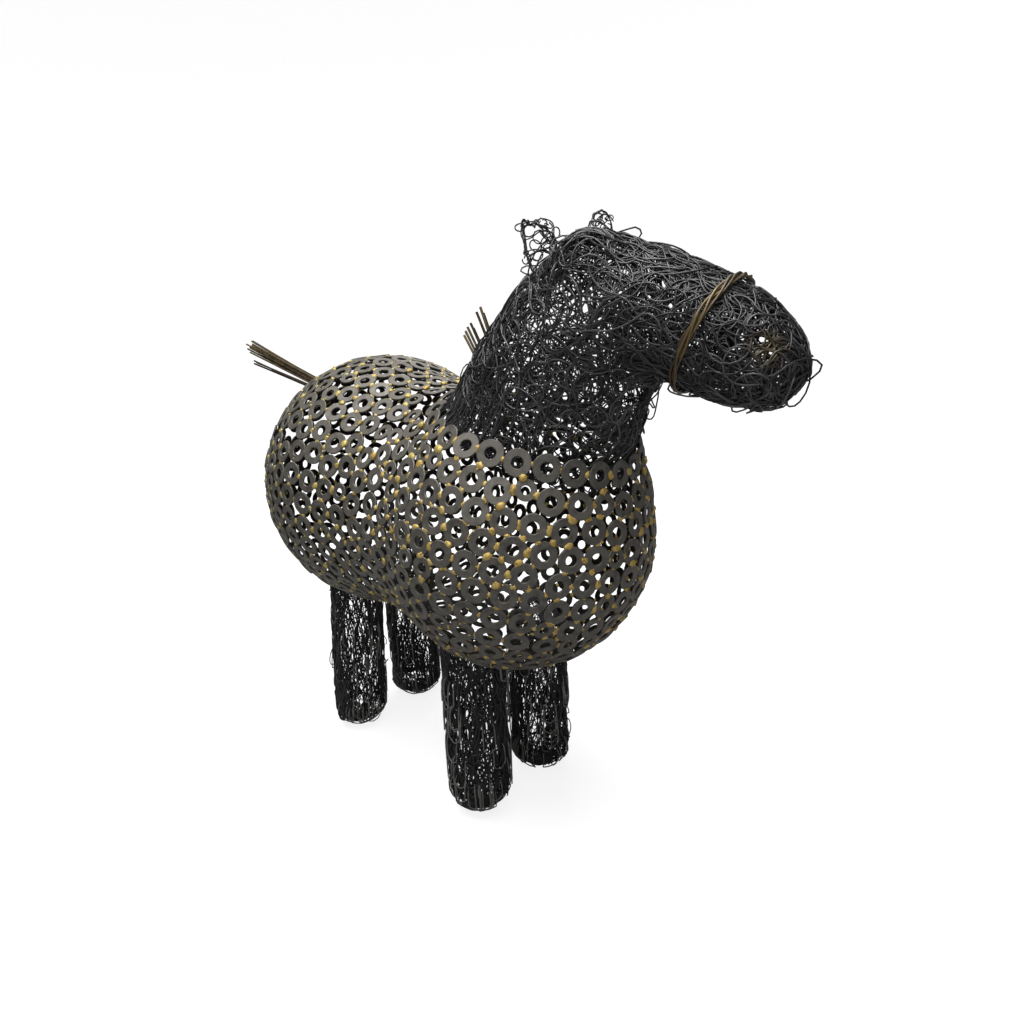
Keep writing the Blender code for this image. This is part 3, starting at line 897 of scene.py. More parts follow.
def rear_rows():
    """Rows round the waist and the rear lobe, each one step nearer the tail."""
    along, out, length = body_outline()
    turn = np.linspace(ROW_START_REAR, ROW_START_REAR + tau, ROW_MARKS)
    first = np.interp(WAIST_PLACE, along, length)
    rows = []
    for mark in np.arange(first, length[-1] - ROW_STEP / 2, ROW_STEP):
        place = np.full(len(turn), np.interp(mark, length, along))
        reach = np.full(len(turn), np.interp(mark, length, out))
        rows.append(space_out(round_body(place, reach, turn)))
    return np.vstack(rows)


def inside_collar(point, collar):
    """Whether a point lies within the ring of collar washers, or on one of them."""
    nearest = collar[np.argmin(np.linalg.norm(collar - point, axis=1))]
    gap = point - nearest
    outward = nearest - FRONT_CENTRE
    away = outward * COLLAR_AXIS.dot(outward) / outward.dot(outward) - COLLAR_AXIS
    near = np.linalg.norm(point - FRONT_CENTRE) < INSIDE_REACH * FRONT_LOBE_RADIUS
    return near and gap.dot(unit(away)) < INSIDE_ROOM * WASHER_DIAMETER and point[2] > FRONT_CENTRE[2]


def washer_sizes(count, dice):
    """Each washer's size, as a share of a full one."""
    sizes = []
    for _ in range(count):
        draw = dice.random()
        sizes.append(next(size for limit, size in SMALL_WASHERS if draw <= limit))
    return np.array(sizes)


def push_apart(places, radii, fixed):
    """Moves washers along the sheet until they only touch. The first few stay where they are."""
    for sweep in range(PUSH_SWEEPS):
        if sweep % NEIGHBOUR_SWEEPS == 0:
            apart = np.linalg.norm(places[:, None] - places[None], axis=2)
            first, second = np.nonzero(np.triu(apart < NEIGHBOUR_REACH * radii.max(), 1))
        gap = places[first] - places[second]
        distance = np.maximum(np.linalg.norm(gap, axis=1), 1e-9)
        overlap = np.maximum(radii[first] + radii[second] + JOINT_GAP - distance, 0.0)
        push = gap / distance[:, None] * (overlap * PUSH_SHARE)[:, None]
        move = np.zeros_like(places)
        np.add.at(move, first, push)
        np.add.at(move, second, -push)
        move[:fixed] = 0.0
        places, facing = onto_body(places + move)
    return places, facing


def with_room(places, candidates, room):
    """Adds the candidates that have no washer within the room given, one after another."""
    for candidate in candidates:
        if np.min(np.linalg.norm(places - candidate, axis=1)) > room * WASHER_DIAMETER:
            places = np.vstack((places, candidate))
    return places


def lay_washers():
    line, stretch = collar_line()
    collar = space_out(line, stretch)
    front = onto_body(front_rows(line))[0]
    front = front[(front - FRONT_CENTRE) @ BODY_AXIS < WAIST_PLACE]
    rows = [point for point in np.vstack((front, rear_rows())) if not inside_collar(point, collar)]
    places = with_room(collar, rows, SEAM_ROOM)
    sizes = np.concatenate((np.ones(len(collar)), washer_sizes(len(places) - len(collar), Random(11))))
    fillers = [point for point in body_spiral(FILLER_TRIES)[0] if not inside_collar(point, collar)]
    for _ in range(FILLER_ROUNDS):
        filled = with_room(places, fillers, FILLER_ROOM)
        sizes = np.concatenate((sizes, np.full(len(filled) - len(places), FILLER_SIZE)))
        places, facing = push_apart(filled, sizes * WASHER_DIAMETER / 2, len(collar))
    return places, facing, sizes, len(collar)


WASHER_PLACES, WASHER_FACING, WASHER_SIZES, COLLAR_COUNT = lay_washers()
print(f"washers: {len(WASHER_PLACES)}, of which {COLLAR_COUNT} are in the collar")

# %% [markdown]
# ## Lean and heat
# The sheet swells a little towards the throat. The collar's washers tip up on their outer edges
# to lean on the wire, most at the throat and hardly at the back, and every washer is a degree or
# two off true. Three places were scorched orange where the torch stayed long: at the collar, on
# the chest, and where the near front leg meets the belly. Their pixels in the photograph are
# carried back onto the sheet.

# %% Lean and heat
SCORCHED_PIXELS = (((560, 569), 0.016), ((462, 660), 0.014), ((463, 455), 0.012))
SIGHT_STEPS = 40
SIGHT_STRIDE = 0.9


def on_the_body(x, y):
    """The place on the body's sheet that shows at a pixel of the photograph."""
    place = np.array(CAMERA_PLACE)
    ray = np.array(pixel_ray(x, y))
    for _ in range(SIGHT_STEPS):
        skin, outward = onto_body(place[None])
        place = place + ray * (place - skin[0]).dot(outward[0]) * SIGHT_STRIDE
    return skin[0]


def lift_shoulders():
    """Raises the sheet towards the neck, most at the throat, and turns its washers with it."""
    outward = unit(WASHER_PLACES - FRONT_CENTRE)
    angle = np.arccos(np.clip(outward @ COLLAR_AXIS, -1, 1))
    share = np.clip((SHOULDER_START - angle) / (SHOULDER_START - SHOULDER_END), 0, 1)
    away = unit(outward * (outward @ COLLAR_AXIS)[:, None] - COLLAR_AXIS)
    front = np.clip(0.55 - 0.45 * away[:, 1], 0, 1)
    front[WASHER_PLACES[:, 1] > FRONT_CENTRE[1] + FRONT_LOBE_RADIUS] = 0.0
    rise = SHOULDER_RISE * front * share ** 2 * (3 - 2 * share)
    run = FRONT_LOBE_RADIUS * (SHOULDER_START - SHOULDER_END)
    slope = SHOULDER_RISE * front * 6 * share * (1 - share) / run
    WASHER_PLACES[:] += WASHER_FACING * rise[:, None]
    WASHER_FACING[:] = unit(WASHER_FACING + away * slope[:, None])


def tip_collar():
    """Tips each collar washer up on its outer edge."""
    radius = WASHER_DIAMETER / 2
    for index in range(COLLAR_COUNT):
        facing = WASHER_FACING[index]
        away = unit(facing * COLLAR_AXIS.dot(facing) - COLLAR_AXIS)
        front = 0.5 - 0.5 * away[1]
        rise = COLLAR_RISE_BACK + (COLLAR_RISE_FRONT - COLLAR_RISE_BACK) * front
        hinge = WASHER_PLACES[index] + away * radius
        WASHER_PLACES[index] = hinge + radius * (facing * sin(rise) - away * cos(rise))
        WASHER_FACING[index] = facing * cos(rise) + away * sin(rise)


def wobble(facing, dice):
    """Turns each direction a little off true."""
    return unit(facing + np.array([[dice.gauss(0, 1) for _ in range(3)] for _ in facing]) * WASHER_WOBBLE)


def heat_at(points):
    """How scorched the metal is at each point, from 0 to 1."""
    heat = np.zeros(len(points))
    for (x, y), size in SCORCHED_PIXELS:
        distance = np.linalg.norm(points - on_the_body(x, y), axis=1)
        heat = np.maximum(heat, np.exp(-(distance / size) ** 2))
    return heat


lift_shoulders()
tip_collar()
WASHER_FACING = wobble(WASHER_FACING, Random(3))
print(f"scorched washers: {np.sum(heat_at(WASHER_PLACES) > 0.3)}")

# %% [markdown]
# ## One washer, many times
# A washer is a flat ring with rounded corners. The tree sweeps a small rectangle round a circle,
# marks its corners for wear and a painted rim highlight and its inner face for painted shade, and
# sets a copy on each point.

# %% Washer jig
WASHER_SIDES = 18
WASHER_BROWNING = (0.0, 0.0, 0.0, 0.0, 0.0, 0.0, 0.10, 0.22)
CORNER_RADIUS = 0.00045
SHARP_ANGLE = radians(30)


def washer_jig():
    sizes = ("Outside Diameter", "Bore Diameter", "Thickness", "Corner Radius")
    tree, given = new_jig("washer_jig", sizes, "Sides")
    both = work_out(tree, 'ADD', given["Outside Diameter"], given["Bore Diameter"])
    middle = work_out(tree, 'DIVIDE', both, 4.0)
    band = work_out(tree, 'SUBTRACT', given["Outside Diameter"], given["Bore Diameter"])
    width = work_out(tree, 'DIVIDE', band, 2.0)
    circle = add_node(
        tree, "GeometryNodeCurvePrimitiveCircle", {"Resolution": given["Sides"], "Radius": middle}
    )
    section = add_node(
        tree, "GeometryNodeCurvePrimitiveQuadrilateral", {"Width": width, "Height": given["Thickness"]}
    )
    rounded = add_node(
        tree,
        "GeometryNodeFilletCurve",
        {"Curve": section.outputs[0], "Radius": given["Corner Radius"], "Count": 1},
        mode='POLY',
    )
    ring = add_node(
        tree, "GeometryNodeCurveToMesh", {"Curve": circle.outputs[0], "Profile Curve": rounded.outputs[0]}
    ).outputs[0]
    place = add_node(tree, "GeometryNodeInputPosition").outputs[0]
    parts = add_node(tree, "ShaderNodeSeparateXYZ", {0: place}).outputs
    flat = add_node(tree, "ShaderNodeCombineXYZ", {0: parts[0], 1: parts[1]}).outputs[0]
    out = add_node(tree, "ShaderNodeVectorMath", {0: flat}, operation='LENGTH').outputs["Value"]
    from_middle = work_out(tree, 'ABSOLUTE', work_out(tree, 'SUBTRACT', out, middle))
    edge = work_out(tree, 'DIVIDE', from_middle, work_out(tree, 'DIVIDE', width, 2.0))
    # The inner face is marked so that the metal paints it dark, as shade inside the body.
    inner = work_out(tree, 'LESS_THAN', parts[2], 0.0)
    for label, value in (("edge", edge), ("inner", inner)):
        ring = add_node(
            tree, "GeometryNodeStoreNamedAttribute", {"Geometry": ring, "Name": label, "Value": value}
        ).outputs[0]
    facing = turn_to(tree, "facing", 'Z')
    spin = add_node(tree, "FunctionNodeAxisAngleToRotation", {"Angle": read_field(tree, "spin")}).outputs[0]
    turned = add_node(
        tree, "FunctionNodeRotateRotation", {0: facing, 1: spin}, rotation_space='LOCAL'
    ).outputs[0]
    return end_jig(tree, set_copies(tree, given["Geometry"], ring, turned), given["Metal"])


WASHER_JIG = washer_jig()


def make_washers(name, chosen):
    """Grows the washers whose numbers are chosen, as one piece."""
    dice = Random(len(name))
    centres = WASHER_PLACES[chosen] - WASHER_FACING[chosen] * WASHER_THICKNESS / 2
    sizes = WASHER_SIZES[chosen]
    seed = seed_mesh(
        name,
        centres,
        numbers={
            "tone": [dice.random() for _ in centres],
            "spin": [dice.uniform(0, tau) for _ in centres],
            "heat": np.maximum(heat_at(centres), [dice.choice(WASHER_BROWNING) for _ in centres]),
        },
        directions={
            "facing": WASHER_FACING[chosen],
            "size": np.stack((sizes, sizes, np.ones(len(sizes))), axis=1),
        },
    )
    measures = {
        "Outside Diameter": WASHER_DIAMETER,
        "Bore Diameter": WASHER_DIAMETER * BORE_SHARE,
        "Thickness": WASHER_THICKNESS,
        "Corner Radius": CORNER_RADIUS,
        "Sides": WASHER_SIDES,
        "Metal": WASHER_METAL,
    }
    piece = grow(name, seed, WASHER_JIG, measures)
    piece.data.shade_smooth()
    piece.data.set_sharp_from_angle(angle=SHARP_ANGLE)
    fit_piece(piece, "washer_steel", "body_shell")


ALONG_BODY = (WASHER_PLACES - FRONT_CENTRE) @ BODY_AXIS
make_washers("front_washers", np.nonzero(ALONG_BODY < WAIST_PLACE)[0])
make_washers("rear_washers", np.nonzero(ALONG_BODY >= WAIST_PLACE)[0])

# %% [markdown]
# ## Braze
# A golden drop of braze holds nearly every pair of washers where they meet. Each is a small lump
# sunk between the two, with two crumbs beside it, and a few are a third larger. The chest's
# are larger, most so high up, and ochre, and the rear's are a paler yellow. The tree sets a ball on
# each joint and then pushes its skin in and out with noise, so no two are alike. A ring of drops
# also holds the tail.

# %% Braze jig
JOINT_REACH = 0.0026
BRAZE_SIZE = 0.0046
BRAZE_RISE = 0.0026
BRAZE_DEPTH = 0.0003
BRAZE_LUMPS = 0.0034
LUMP_SCALE = 420.0
LUMP_ROUNDNESS = 2
CRUMB_ROUNDNESS = 1
BRAZE_SWELLS = (0.75, 0.85, 0.95, 1.0, 1.1, 1.35)
BRAZE_OVERLAP = 0.0024
BRAZE_SLIDE = 0.0007
BRAZE_SKIP = 0.08
CRUMBS = 2
CRUMB_SIZES = (0.0014, 0.0024)
CRUMB_REACH = 0.0017
CHEST_SWELL = 1.25
HIGH_SWELL = 0.14
REAR_SWELL = 0.92
TAIL_DROPS = 26
TAIL_DROP_REACH = 0.0060
TAIL_DROP_CLIMB = 0.012


def braze_jig():
    tree, given = new_jig("braze_jig", ("Lump Height", "Lump Scale"), "Roundness")
    ball = add_node(
        tree, "GeometryNodeMeshIcoSphere", {"Radius": 0.5, "Subdivisions": given["Roundness"]}
    ).outputs[0]
    upright = turn_to(tree, "facing", 'Z')
    turned = turn_to(tree, "across", 'X', {"Rotation": upright}, pivot_axis='Z')
    copies = set_copies(tree, given["Geometry"], ball, turned)
    real = add_node(tree, "GeometryNodeRealizeInstances", {"Geometry": copies}).outputs[0]
    place = add_node(tree, "GeometryNodeInputPosition").outputs[0]
    noise = add_node(
        tree, "ShaderNodeTexNoise", {"Vector": place, "Scale": given["Lump Scale"], "Detail": 1.0}
    ).outputs[0]
    push = work_out(tree, 'MULTIPLY', work_out(tree, 'SUBTRACT', noise, 0.5), given["Lump Height"])
    normal = add_node(tree, "GeometryNodeInputNormal").outputs[0]
    offset = add_node(
        tree, "ShaderNodeVectorMath", {0: normal, "Scale": push}, operation='SCALE'
    ).outputs[0]
    lumpy = add_node(tree, "GeometryNodeSetPosition", {"Geometry": real, "Offset": offset}).outputs[0]
    return end_jig(tree, lumpy, given["Metal"])


BRAZE_JIG = braze_jig()


def find_joints():
    """Where two washers meet: the place, the outward direction, the way along it, and the gap."""
    radii = WASHER_SIZES * WASHER_DIAMETER / 2
    apart = np.linalg.norm(WASHER_PLACES[:, None] - WASHER_PLACES[None], axis=2)
    gap = apart - radii[:, None] - radii[None]
    first, second = np.nonzero(np.triu(gap < JOINT_REACH, 1))
    share = (radii[first] / (radii[first] + radii[second]))[:, None]
    places = WASHER_PLACES[first] * (1 - share) + WASHER_PLACES[second] * share
    facing = unit(WASHER_FACING[first] + WASHER_FACING[second])
    across = unit(np.cross(facing, WASHER_PLACES[second] - WASHER_PLACES[first]))
    return places, facing, across, np.maximum(gap[first, second], 0.0)


def set_braze(name, centres, facing, across, sizes, tones, roundness):
    """Sets one lump of braze at each centre."""
    numbers = {"heat": heat_at(centres), "tone": tones}
    directions = {"facing": facing, "across": across, "size": sizes}
    seed = seed_mesh(name, centres, numbers=numbers, directions=directions)
    measures = {
        "Lump Height": BRAZE_LUMPS,
        "Lump Scale": LUMP_SCALE,
        "Roundness": roundness,
        "Metal": BRAZE_METAL,
    }
    piece = grow(name, seed, BRAZE_JIG, measures)
    piece.data.shade_smooth()
    fit_piece(piece, "washer_steel", "body_shell")


def braze_tones(centres, dice):
    """Ochre at the chest, paler towards the rear."""
    along = (centres - FRONT_CENTRE) @ BODY_AXIS
    return [min(1.0, max(0.0, 0.72 - 2.6 * place + dice.gauss(0, 0.2))) for place in along]


def make_braze():
    dice = Random(29)
    joints = find_joints()
    chosen = [index for index in range(len(joints[0])) if dice.random() > BRAZE_SKIP]
    places, facing, across, gaps = (values[chosen] for values in joints)
    sizes = []
    slides = []
    rearward = np.clip((places - FRONT_CENTRE) @ BODY_AXIS / LOBE_SPACING, 0.0, 1.0)
    upward = np.clip((places[:, 2] - FRONT_CENTRE[2]) / FRONT_LOBE_RADIUS, -1.0, 1.0)
    for gap, back, rise in zip(gaps, rearward, upward):
        swell = dice.choice(BRAZE_SWELLS)
        swell *= (CHEST_SWELL + (REAR_SWELL - CHEST_SWELL) * back) * (1 + HIGH_SWELL * rise)
        length = BRAZE_SIZE * swell * dice.uniform(0.85, 1.3)
        width = max(BRAZE_SIZE * swell * dice.uniform(0.8, 1.05), gap + BRAZE_OVERLAP)
        sizes.append((length, width, BRAZE_RISE * swell))
        slides.append(dice.gauss(0, BRAZE_SLIDE))
    centres = places + across * np.array(slides)[:, None] - facing * BRAZE_DEPTH
    set_braze("braze", centres, facing, across, sizes, braze_tones(centres, dice), LUMP_ROUNDNESS)
    print(f"braze: {len(centres)} joints, {2 * len(centres) / len(WASHER_PLACES):.1f} for each washer")
    beside = np.cross(facing, across)
    crumbs = []
    for _ in range(CRUMBS):
        shifts = np.array([(dice.gauss(0, CRUMB_REACH), dice.gauss(0, CRUMB_REACH)) for _ in centres])
        crumbs.append(centres + across * shifts[:, :1] + beside * shifts[:, 1:] + facing * BRAZE_DEPTH)
    crumbs = np.vstack(crumbs)
    facing = np.tile(facing, (CRUMBS, 1))
    across = np.tile(across, (CRUMBS, 1))
    sizes = [[dice.uniform(*CRUMB_SIZES)] * 3 for _ in crumbs]
    tones = braze_tones(crumbs, dice)
    set_braze("braze_crumbs", crumbs, facing, across, sizes, tones, CRUMB_ROUNDNESS)


def braze_the_tail():
    """A ring of drops where the tail's rods go into the body."""
    dice = Random(31)
    places = solid_corners("tail")
    foot = places[places[:, 1] < places[:, 1].min() + 0.02].mean(axis=0)
    root, facing = onto_body(foot[None])
    across = unit(np.cross(facing, (1.0, 0.0, 0.0)))
    beside = np.cross(facing, across)
    turns = [tau * (index + dice.random() * 0.6) / TAIL_DROPS for index in range(TAIL_DROPS)]
    ring = [across[0] * cos(turn) + beside[0] * sin(turn) for turn in turns]
    climb = np.array([dice.uniform(-0.002, TAIL_DROP_CLIMB) for _ in turns])[:, None]
    centres = root + np.array(ring) * TAIL_DROP_REACH + facing * climb
    facing = np.tile(facing, (TAIL_DROPS, 1))
    across = np.tile(across, (TAIL_DROPS, 1))
    sizes = [[BRAZE_SIZE * dice.uniform(0.8, 1.3) for _ in range(3)] for _ in centres]
    tones = [dice.random() for _ in centres]
    set_braze("tail_braze", centres, facing, across, sizes, tones, LUMP_ROUNDNESS)


make_braze()
braze_the_tail()

# %% [markdown]
# ## Bending wire
# Annealed wire is pulled off a coil and pressed round the form by hand, so a strand is a chain of
# arcs, now bent one way and now the other, that keeps to the surface and dips under other
# strands. The function walks over a skin in short steps. Where the skin ends it makes a tight
# hairpin and comes back, as the loops at the foot of the neck show.

# %% Wire walk
WIRE_DIAMETER = 0.00125
HAIRPIN_RADIUS = (0.004, 0.0075)
LOOK_AHEAD = 0.010
STEP_TURN = radians(15)
STEP_STRETCH = 1.6
SHORT_STEP = 0.0034
LONG_STEP = 0.0062
HAIRPIN_SWEEP = (0.85, 1.1)
SWAY_CHANCE = 0.6
EDGE_SHARE = 0.55
SHY_AWAY = 0.8
FAINT_RUN = 0.2

# How the strands of one part are bent: the radii of their arcs and how far these turn, the share of
# hairpins, the pull towards the spine, the depths below the skin, the swing, and the lengths.
Habit = namedtuple("Habit", "bends turns hairpins pull depths swing lengths")


def scatter(dice, reach=1):
    """A random step, as likely to go one way as another."""
    return Vector([dice.gauss(0, reach) for _ in range(3)])


def strand_length(strand):
    return sum((end - start).length for start, end in zip(strand, strand[1:]))


def tangent(direction, normal):
    """The direction along the skin that is nearest to the one given."""
    flat = direction - normal * direction.dot(normal)
    return flat.normalized()


def steer(heading, normal, spine_run, pull):
    """The turn that brings a heading closer to the run of the spine, either way along it."""
    run = spine_run - normal * spine_run.dot(normal)
    if run.length < FAINT_RUN:
        return 0.0
    run.normalize()
    side = normal.cross(heading)
    return pull * run.dot(side) * run.dot(heading)


def keep_clear(place, heading, openings):
    """Moves a place out of any opening that is left in the wire."""
    for centre, radius in openings:
        away = place - centre
        if away.length < radius:
            out = away.normalized()
            place = centre + out * radius
            heading = (heading - out * heading.dot(out) * SHY_AWAY).normalized()
    return place, heading


def hairpin_bend(dice):
    """The radius of a hairpin and the length of its arc."""
    radius = dice.uniform(*HAIRPIN_RADIUS)
    return radius, radius * pi * dice.uniform(*HAIRPIN_SWEEP)


def walk_wire(skin, habit, dice, openings=(), start=None):
    """The places and outward directions of one strand."""
    place = start or skin.pick(dice)
    heading = scatter(dice)
    remaining = dice.uniform(*habit.lengths)
    places, normals = [], []
    arc_left = 0.0
    radius = 1.0
    hand = 1
    while remaining > 0:
        place, heading = keep_clear(place, heading, openings)
        here, normal, index, _ = skin.nearest(place)
        heading = tangent(heading, normal)
        if arc_left <= 0:
            radius = dice.uniform(*habit.bends)
            arc_left = radius * dice.uniform(*habit.turns)
            hand = -hand if dice.random() < SWAY_CHANCE else hand
            if dice.random() < habit.hairpins:
                radius, arc_left = hairpin_bend(dice)
        ahead = here + heading * LOOK_AHEAD
        landing = skin.nearest(ahead)[0]
        if (landing - ahead).length > LOOK_AHEAD * EDGE_SHARE and radius > HAIRPIN_RADIUS[1]:
            radius, arc_left = hairpin_bend(dice)
        step = max(SHORT_STEP, min(LONG_STEP, radius * STEP_TURN * STEP_STRETCH))
        pull = 0.0 if radius <= HAIRPIN_RADIUS[1] else habit.pull
        run = nearest_on_spine(here, skin.spine)[1]
        turn = hand * step / radius + steer(heading, normal, run, pull) * step
        side = normal.cross(heading)
        heading = (heading * cos(turn) + side * sin(turn)).normalized()
        places.append(here)
        normals.append(normal)
        skin.laid[index] += step
        place = here + heading * step
        remaining -= step
        arc_left -= step
    return places, normals

# %% [markdown]
# ## Mats, loops and hairpins
# A mat is one walked strand after another, each dipping in and out of it, until enough wire lies on
# the skin. Stray loops are short walks that stand off the mat. A hairpin is drawn instead, as two
# legs that run down to a round foot.

# %% Mats, loops and hairpins
WAVE_LENGTHS = (0.045, 0.11)
WAVE_SHARES = (0.7, 0.3)
KINK_ROUNDS = 2
SHORTEST_STRAND = 4
LOOP_TUCK = 0.003

# Loops that stand off the mat: how many, how far they rise, their lengths, their arcs, and the
# ranges of x, y and z that they start in.
Loops = namedtuple("Loops", "count rise lengths bends zone", defaults=(None,))


def weave(places, normals, habit, dice, swell=None):
    """Dips a strand in and out of the mat and rounds off its small kinks."""
    middle = dice.uniform(*habit.depths)
    waves = [(dice.uniform(*WAVE_LENGTHS), dice.uniform(0, tau), share) for share in WAVE_SHARES]
    travelled = 0.0
    woven = []
    for index, (place, normal) in enumerate(zip(places, normals)):
        if index:
            travelled += (place - places[index - 1]).length
        depth = middle
        for wave, phase, share in waves:
            depth += habit.swing * share * sin(tau * travelled / wave + phase)
        depth = min(depth, habit.depths[1] + habit.swing * 0.5)
        woven.append(place + normal * (depth + (swell(place) if swell else 0.0)))
    for _ in range(KINK_ROUNDS):
        for index in range(1, len(woven) - 1):
            woven[index] = woven[index] * 0.5 + (woven[index - 1] + woven[index + 1]) * 0.25
    return woven


def lay_mat(skin, habit, total, seed):
    """Lays strands until a total length of wire lies on the skin."""
    dice = Random(seed)
    strands = []
    laid = 0.0
    while laid < total:
        places, normals = walk_wire(skin, habit, dice)
        if len(places) < SHORTEST_STRAND:
            continue
        strand = weave(places, normals, habit, dice)
        strands.append(strand)
        laid += strand_length(strand)
    return strands


def stray_loops(skin, loops, seed):
    """Loops of wire that stand off the mat, as they do along its outline."""
    dice = Random(seed)
    habit = Habit(loops.bends, (3.0, 6.0), 0.0, 0.0, (0.0, 0.0), 0.0, loops.lengths)
    strands = []
    while len(strands) < loops.count:
        start = skin.pick(dice, tries=1)
        if loops.zone and not all(low < value < high for value, (low, high) in zip(start, loops.zone)):
            continue
        places, normals = walk_wire(skin, habit, dice, start=start)
        height = dice.uniform(*loops.rise)
        last = len(places) - 1
        lifted = []
        for index, (place, normal) in enumerate(zip(places, normals)):
            hump = sin(pi * index / last)
            lifted.append(place + normal * (height * hump - LOOP_TUCK * (1 - hump)))
        strands.append(lifted)
    return strands


def hairpin(foot, skin, half, reach, steps, flare=0.0):
    """A hairpin that hangs to its foot: how far along each place is, from -1 to 1, and the place."""
    up = nearest_on_spine(foot, skin.spine)[1]
    side = up.cross(skin.nearest(foot)[1]).normalized()
    for step in range(steps + 1):
        share = 2 * step / steps - 1
        height = abs(share) * reach
        across = half * sqrt(1 - (1 - height / half) ** 2) if height < half else half
        across *= 1 + flare * height / reach
        yield share, foot + up * height + side * (across if share > 0 else -across)

# %% [markdown]
# ## Drawing the wire
# A strand is only a chain of edges until it has a thickness. The tree turns each chain into a
# curve and sweeps a small circle along it. The same jig draws the mat, the ears, the twisted
# noseband and the straight rods, each with a diameter of its own.

# %% Wire jig
def wire_jig():
    tree, given = new_jig("wire_jig", ("Wire Diameter",), "Sides")
    curve = add_node(tree, "GeometryNodeMeshToCurve", {"Mesh": given["Geometry"]}).outputs[0]
    radius = work_out(tree, 'DIVIDE', given["Wire Diameter"], 2.0)
    section = add_node(
        tree, "GeometryNodeCurvePrimitiveCircle", {"Resolution": given["Sides"], "Radius": radius}
    ).outputs[0]
    drawn = add_node(
        tree, "GeometryNodeCurveToMesh", {"Curve": curve, "Profile Curve": section, "Fill Caps": True}
    ).outputs[0]
    return end_jig(tree, drawn, given["Metal"])


WIRE_JIG = wire_jig()


def draw_wire(name, strands, diameter, sides, metal, seed, olive=None, tones=(0.0, 1.0)):
    """Draws strands as one piece of wire. Each strand has a shade of its own."""
    dice = Random(seed)
    points, edges, tone = [], [], []
    for strand in strands:
        shade = dice.uniform(*tones)
        first = len(points)
        edges.extend((first + index, first + index + 1) for index in range(len(strand) - 1))
        points.extend(strand)
        tone.extend([shade] * len(strand))
    tint = [olive(point) if olive else 0.0 for point in points]
    mesh = seed_mesh(name, points, edges, numbers={"tone": tone, "olive": tint})
    piece = grow(name, mesh, WIRE_JIG, {"Wire Diameter": diameter, "Sides": sides, "Metal": metal})
    piece.data.shade_smooth()
    length = sum(strand_length(strand) for strand in strands)
    print(f"{name}: {len(strands)} strands, {length:.1f} m of wire")
    return piece

# %% [markdown]
# ## Neck and head
# The neck's strands run mostly up and down it, dense enough that only specks of light come
# through. The head's are tighter arcs that cross every way, and three openings are left in them on
# the muzzle, through which the light shows. Loops stand off the chin, the poll, the throat and the
# nape, and long hairpins hang over the collar.

# %% Neck and head
WIRE_LENGTHS = {"neck": 59.0, "head": 66.0}
MAT_SIDES = 5
HABITS = {
    "neck": Habit((0.010, 0.034), (0.6, 1.8), 0.10, 26.0, (-0.0042, 0.0), 0.0017, (0.35, 0.8)),
    "head": Habit((0.0075, 0.018), (1.1, 3.0), 0.04, 3.0, (-0.0042, 0.0), 0.0018, (0.35, 0.8)),
}
ANYWHERE = (-1.0, 1.0)
CHIN_ZONE = (ANYWHERE, (-1.0, -0.30), (-1.0, 0.440))
POLL_ZONE = (ANYWHERE, (-0.245, -0.165), (0.485, 1.0))
THROAT_ZONE = ((-0.02, 1.0), (-1.0, -0.165), (-1.0, 0.44))
CHIN_LOOPS = Loops(16, (0.001, 0.003), (0.03, 0.06), (0.010, 0.018), CHIN_ZONE)
POLL_LOOPS = Loops(26, (0.004, 0.010), (0.035, 0.065), (0.012, 0.022), POLL_ZONE)
THROAT_LOOPS = Loops(34, (0.003, 0.008), (0.035, 0.065), (0.014, 0.026), THROAT_ZONE)
NAPE_LOOPS = Loops(22, (0.0015, 0.0035), (0.03, 0.06), (0.012, 0.025))
SKIRT_LOOPS = 46
SKIRT_START = radians(-35)
SKIRT_TURN = radians(250)
SKIRT_CLEARANCE = (-0.002, 0.004)
SKIRT_RISE = 0.0016
SKIRT_HALVES = (0.003, 0.006)
SKIRT_REACHES = (0.03, 0.06)
SKIRT_FLARE = 0.8
SKIRT_STEPS = 24
SKIRT_LANDING = 0.018
SKIRT_LIFT = 0.0006
POLL_PLACE = Vector((0, -0.205, 0.470))
BEHIND_HEAD = 0.02
BELOW_POLL = 0.075
OLIVE_PIXEL = (770, 347)
OLIVE_REACH = 0.016
OLIVE_DEPTH = 0.9
MUZZLE_OPENING_PIXELS = (((795, 382), 0.0050), ((761, 341), 0.0042), ((741, 317), 0.0026))
SWELLING_PIXELS = (((579, 250), 0.030, 0.0110), ((632, 405), 0.036, 0.0085))


def through_the_neck(x, y):
    """The near and the far place on the neck or head that show at a pixel of the photograph."""
    ray = pixel_ray(x, y)
    near = NECK_SKIN.tree.ray_cast(CAMERA_PLACE, ray)[0]
    far = NECK_SKIN.tree.ray_cast(near + ray * 0.002, ray)[0]
    return near, far or near


def skirt_loop(turn, dice):
    """A long hairpin that hangs from the neck over the collar."""
    foot = Vector(beside_the_neck(turn, dice.uniform(*SKIRT_CLEARANCE)))
    foot += (foot - Vector(FRONT_CENTRE)).normalized() * SKIRT_RISE
    half = dice.uniform(*SKIRT_HALVES)
    reach = dice.uniform(*SKIRT_REACHES)
    strand = []
    for share, place in hairpin(foot, NECK_SKIN, half, reach, SKIRT_STEPS, SKIRT_FLARE):
        skin, facing, _, _ = NECK_SKIN.nearest(place)
        landed = min(1.0, abs(share) * reach / SKIRT_LANDING)
        strand.append(place * (1 - landed) + (skin + facing * SKIRT_LIFT) * landed)
    return strand


def skirt(count, seed):
    """Loops all round the foot of the neck but for the throat, where the collar covers the wire."""
    dice = Random(seed)
    turns = [SKIRT_START + SKIRT_TURN * (index + dice.random()) / count for index in range(count)]
    return [skirt_loop(turn, dice) for turn in turns]


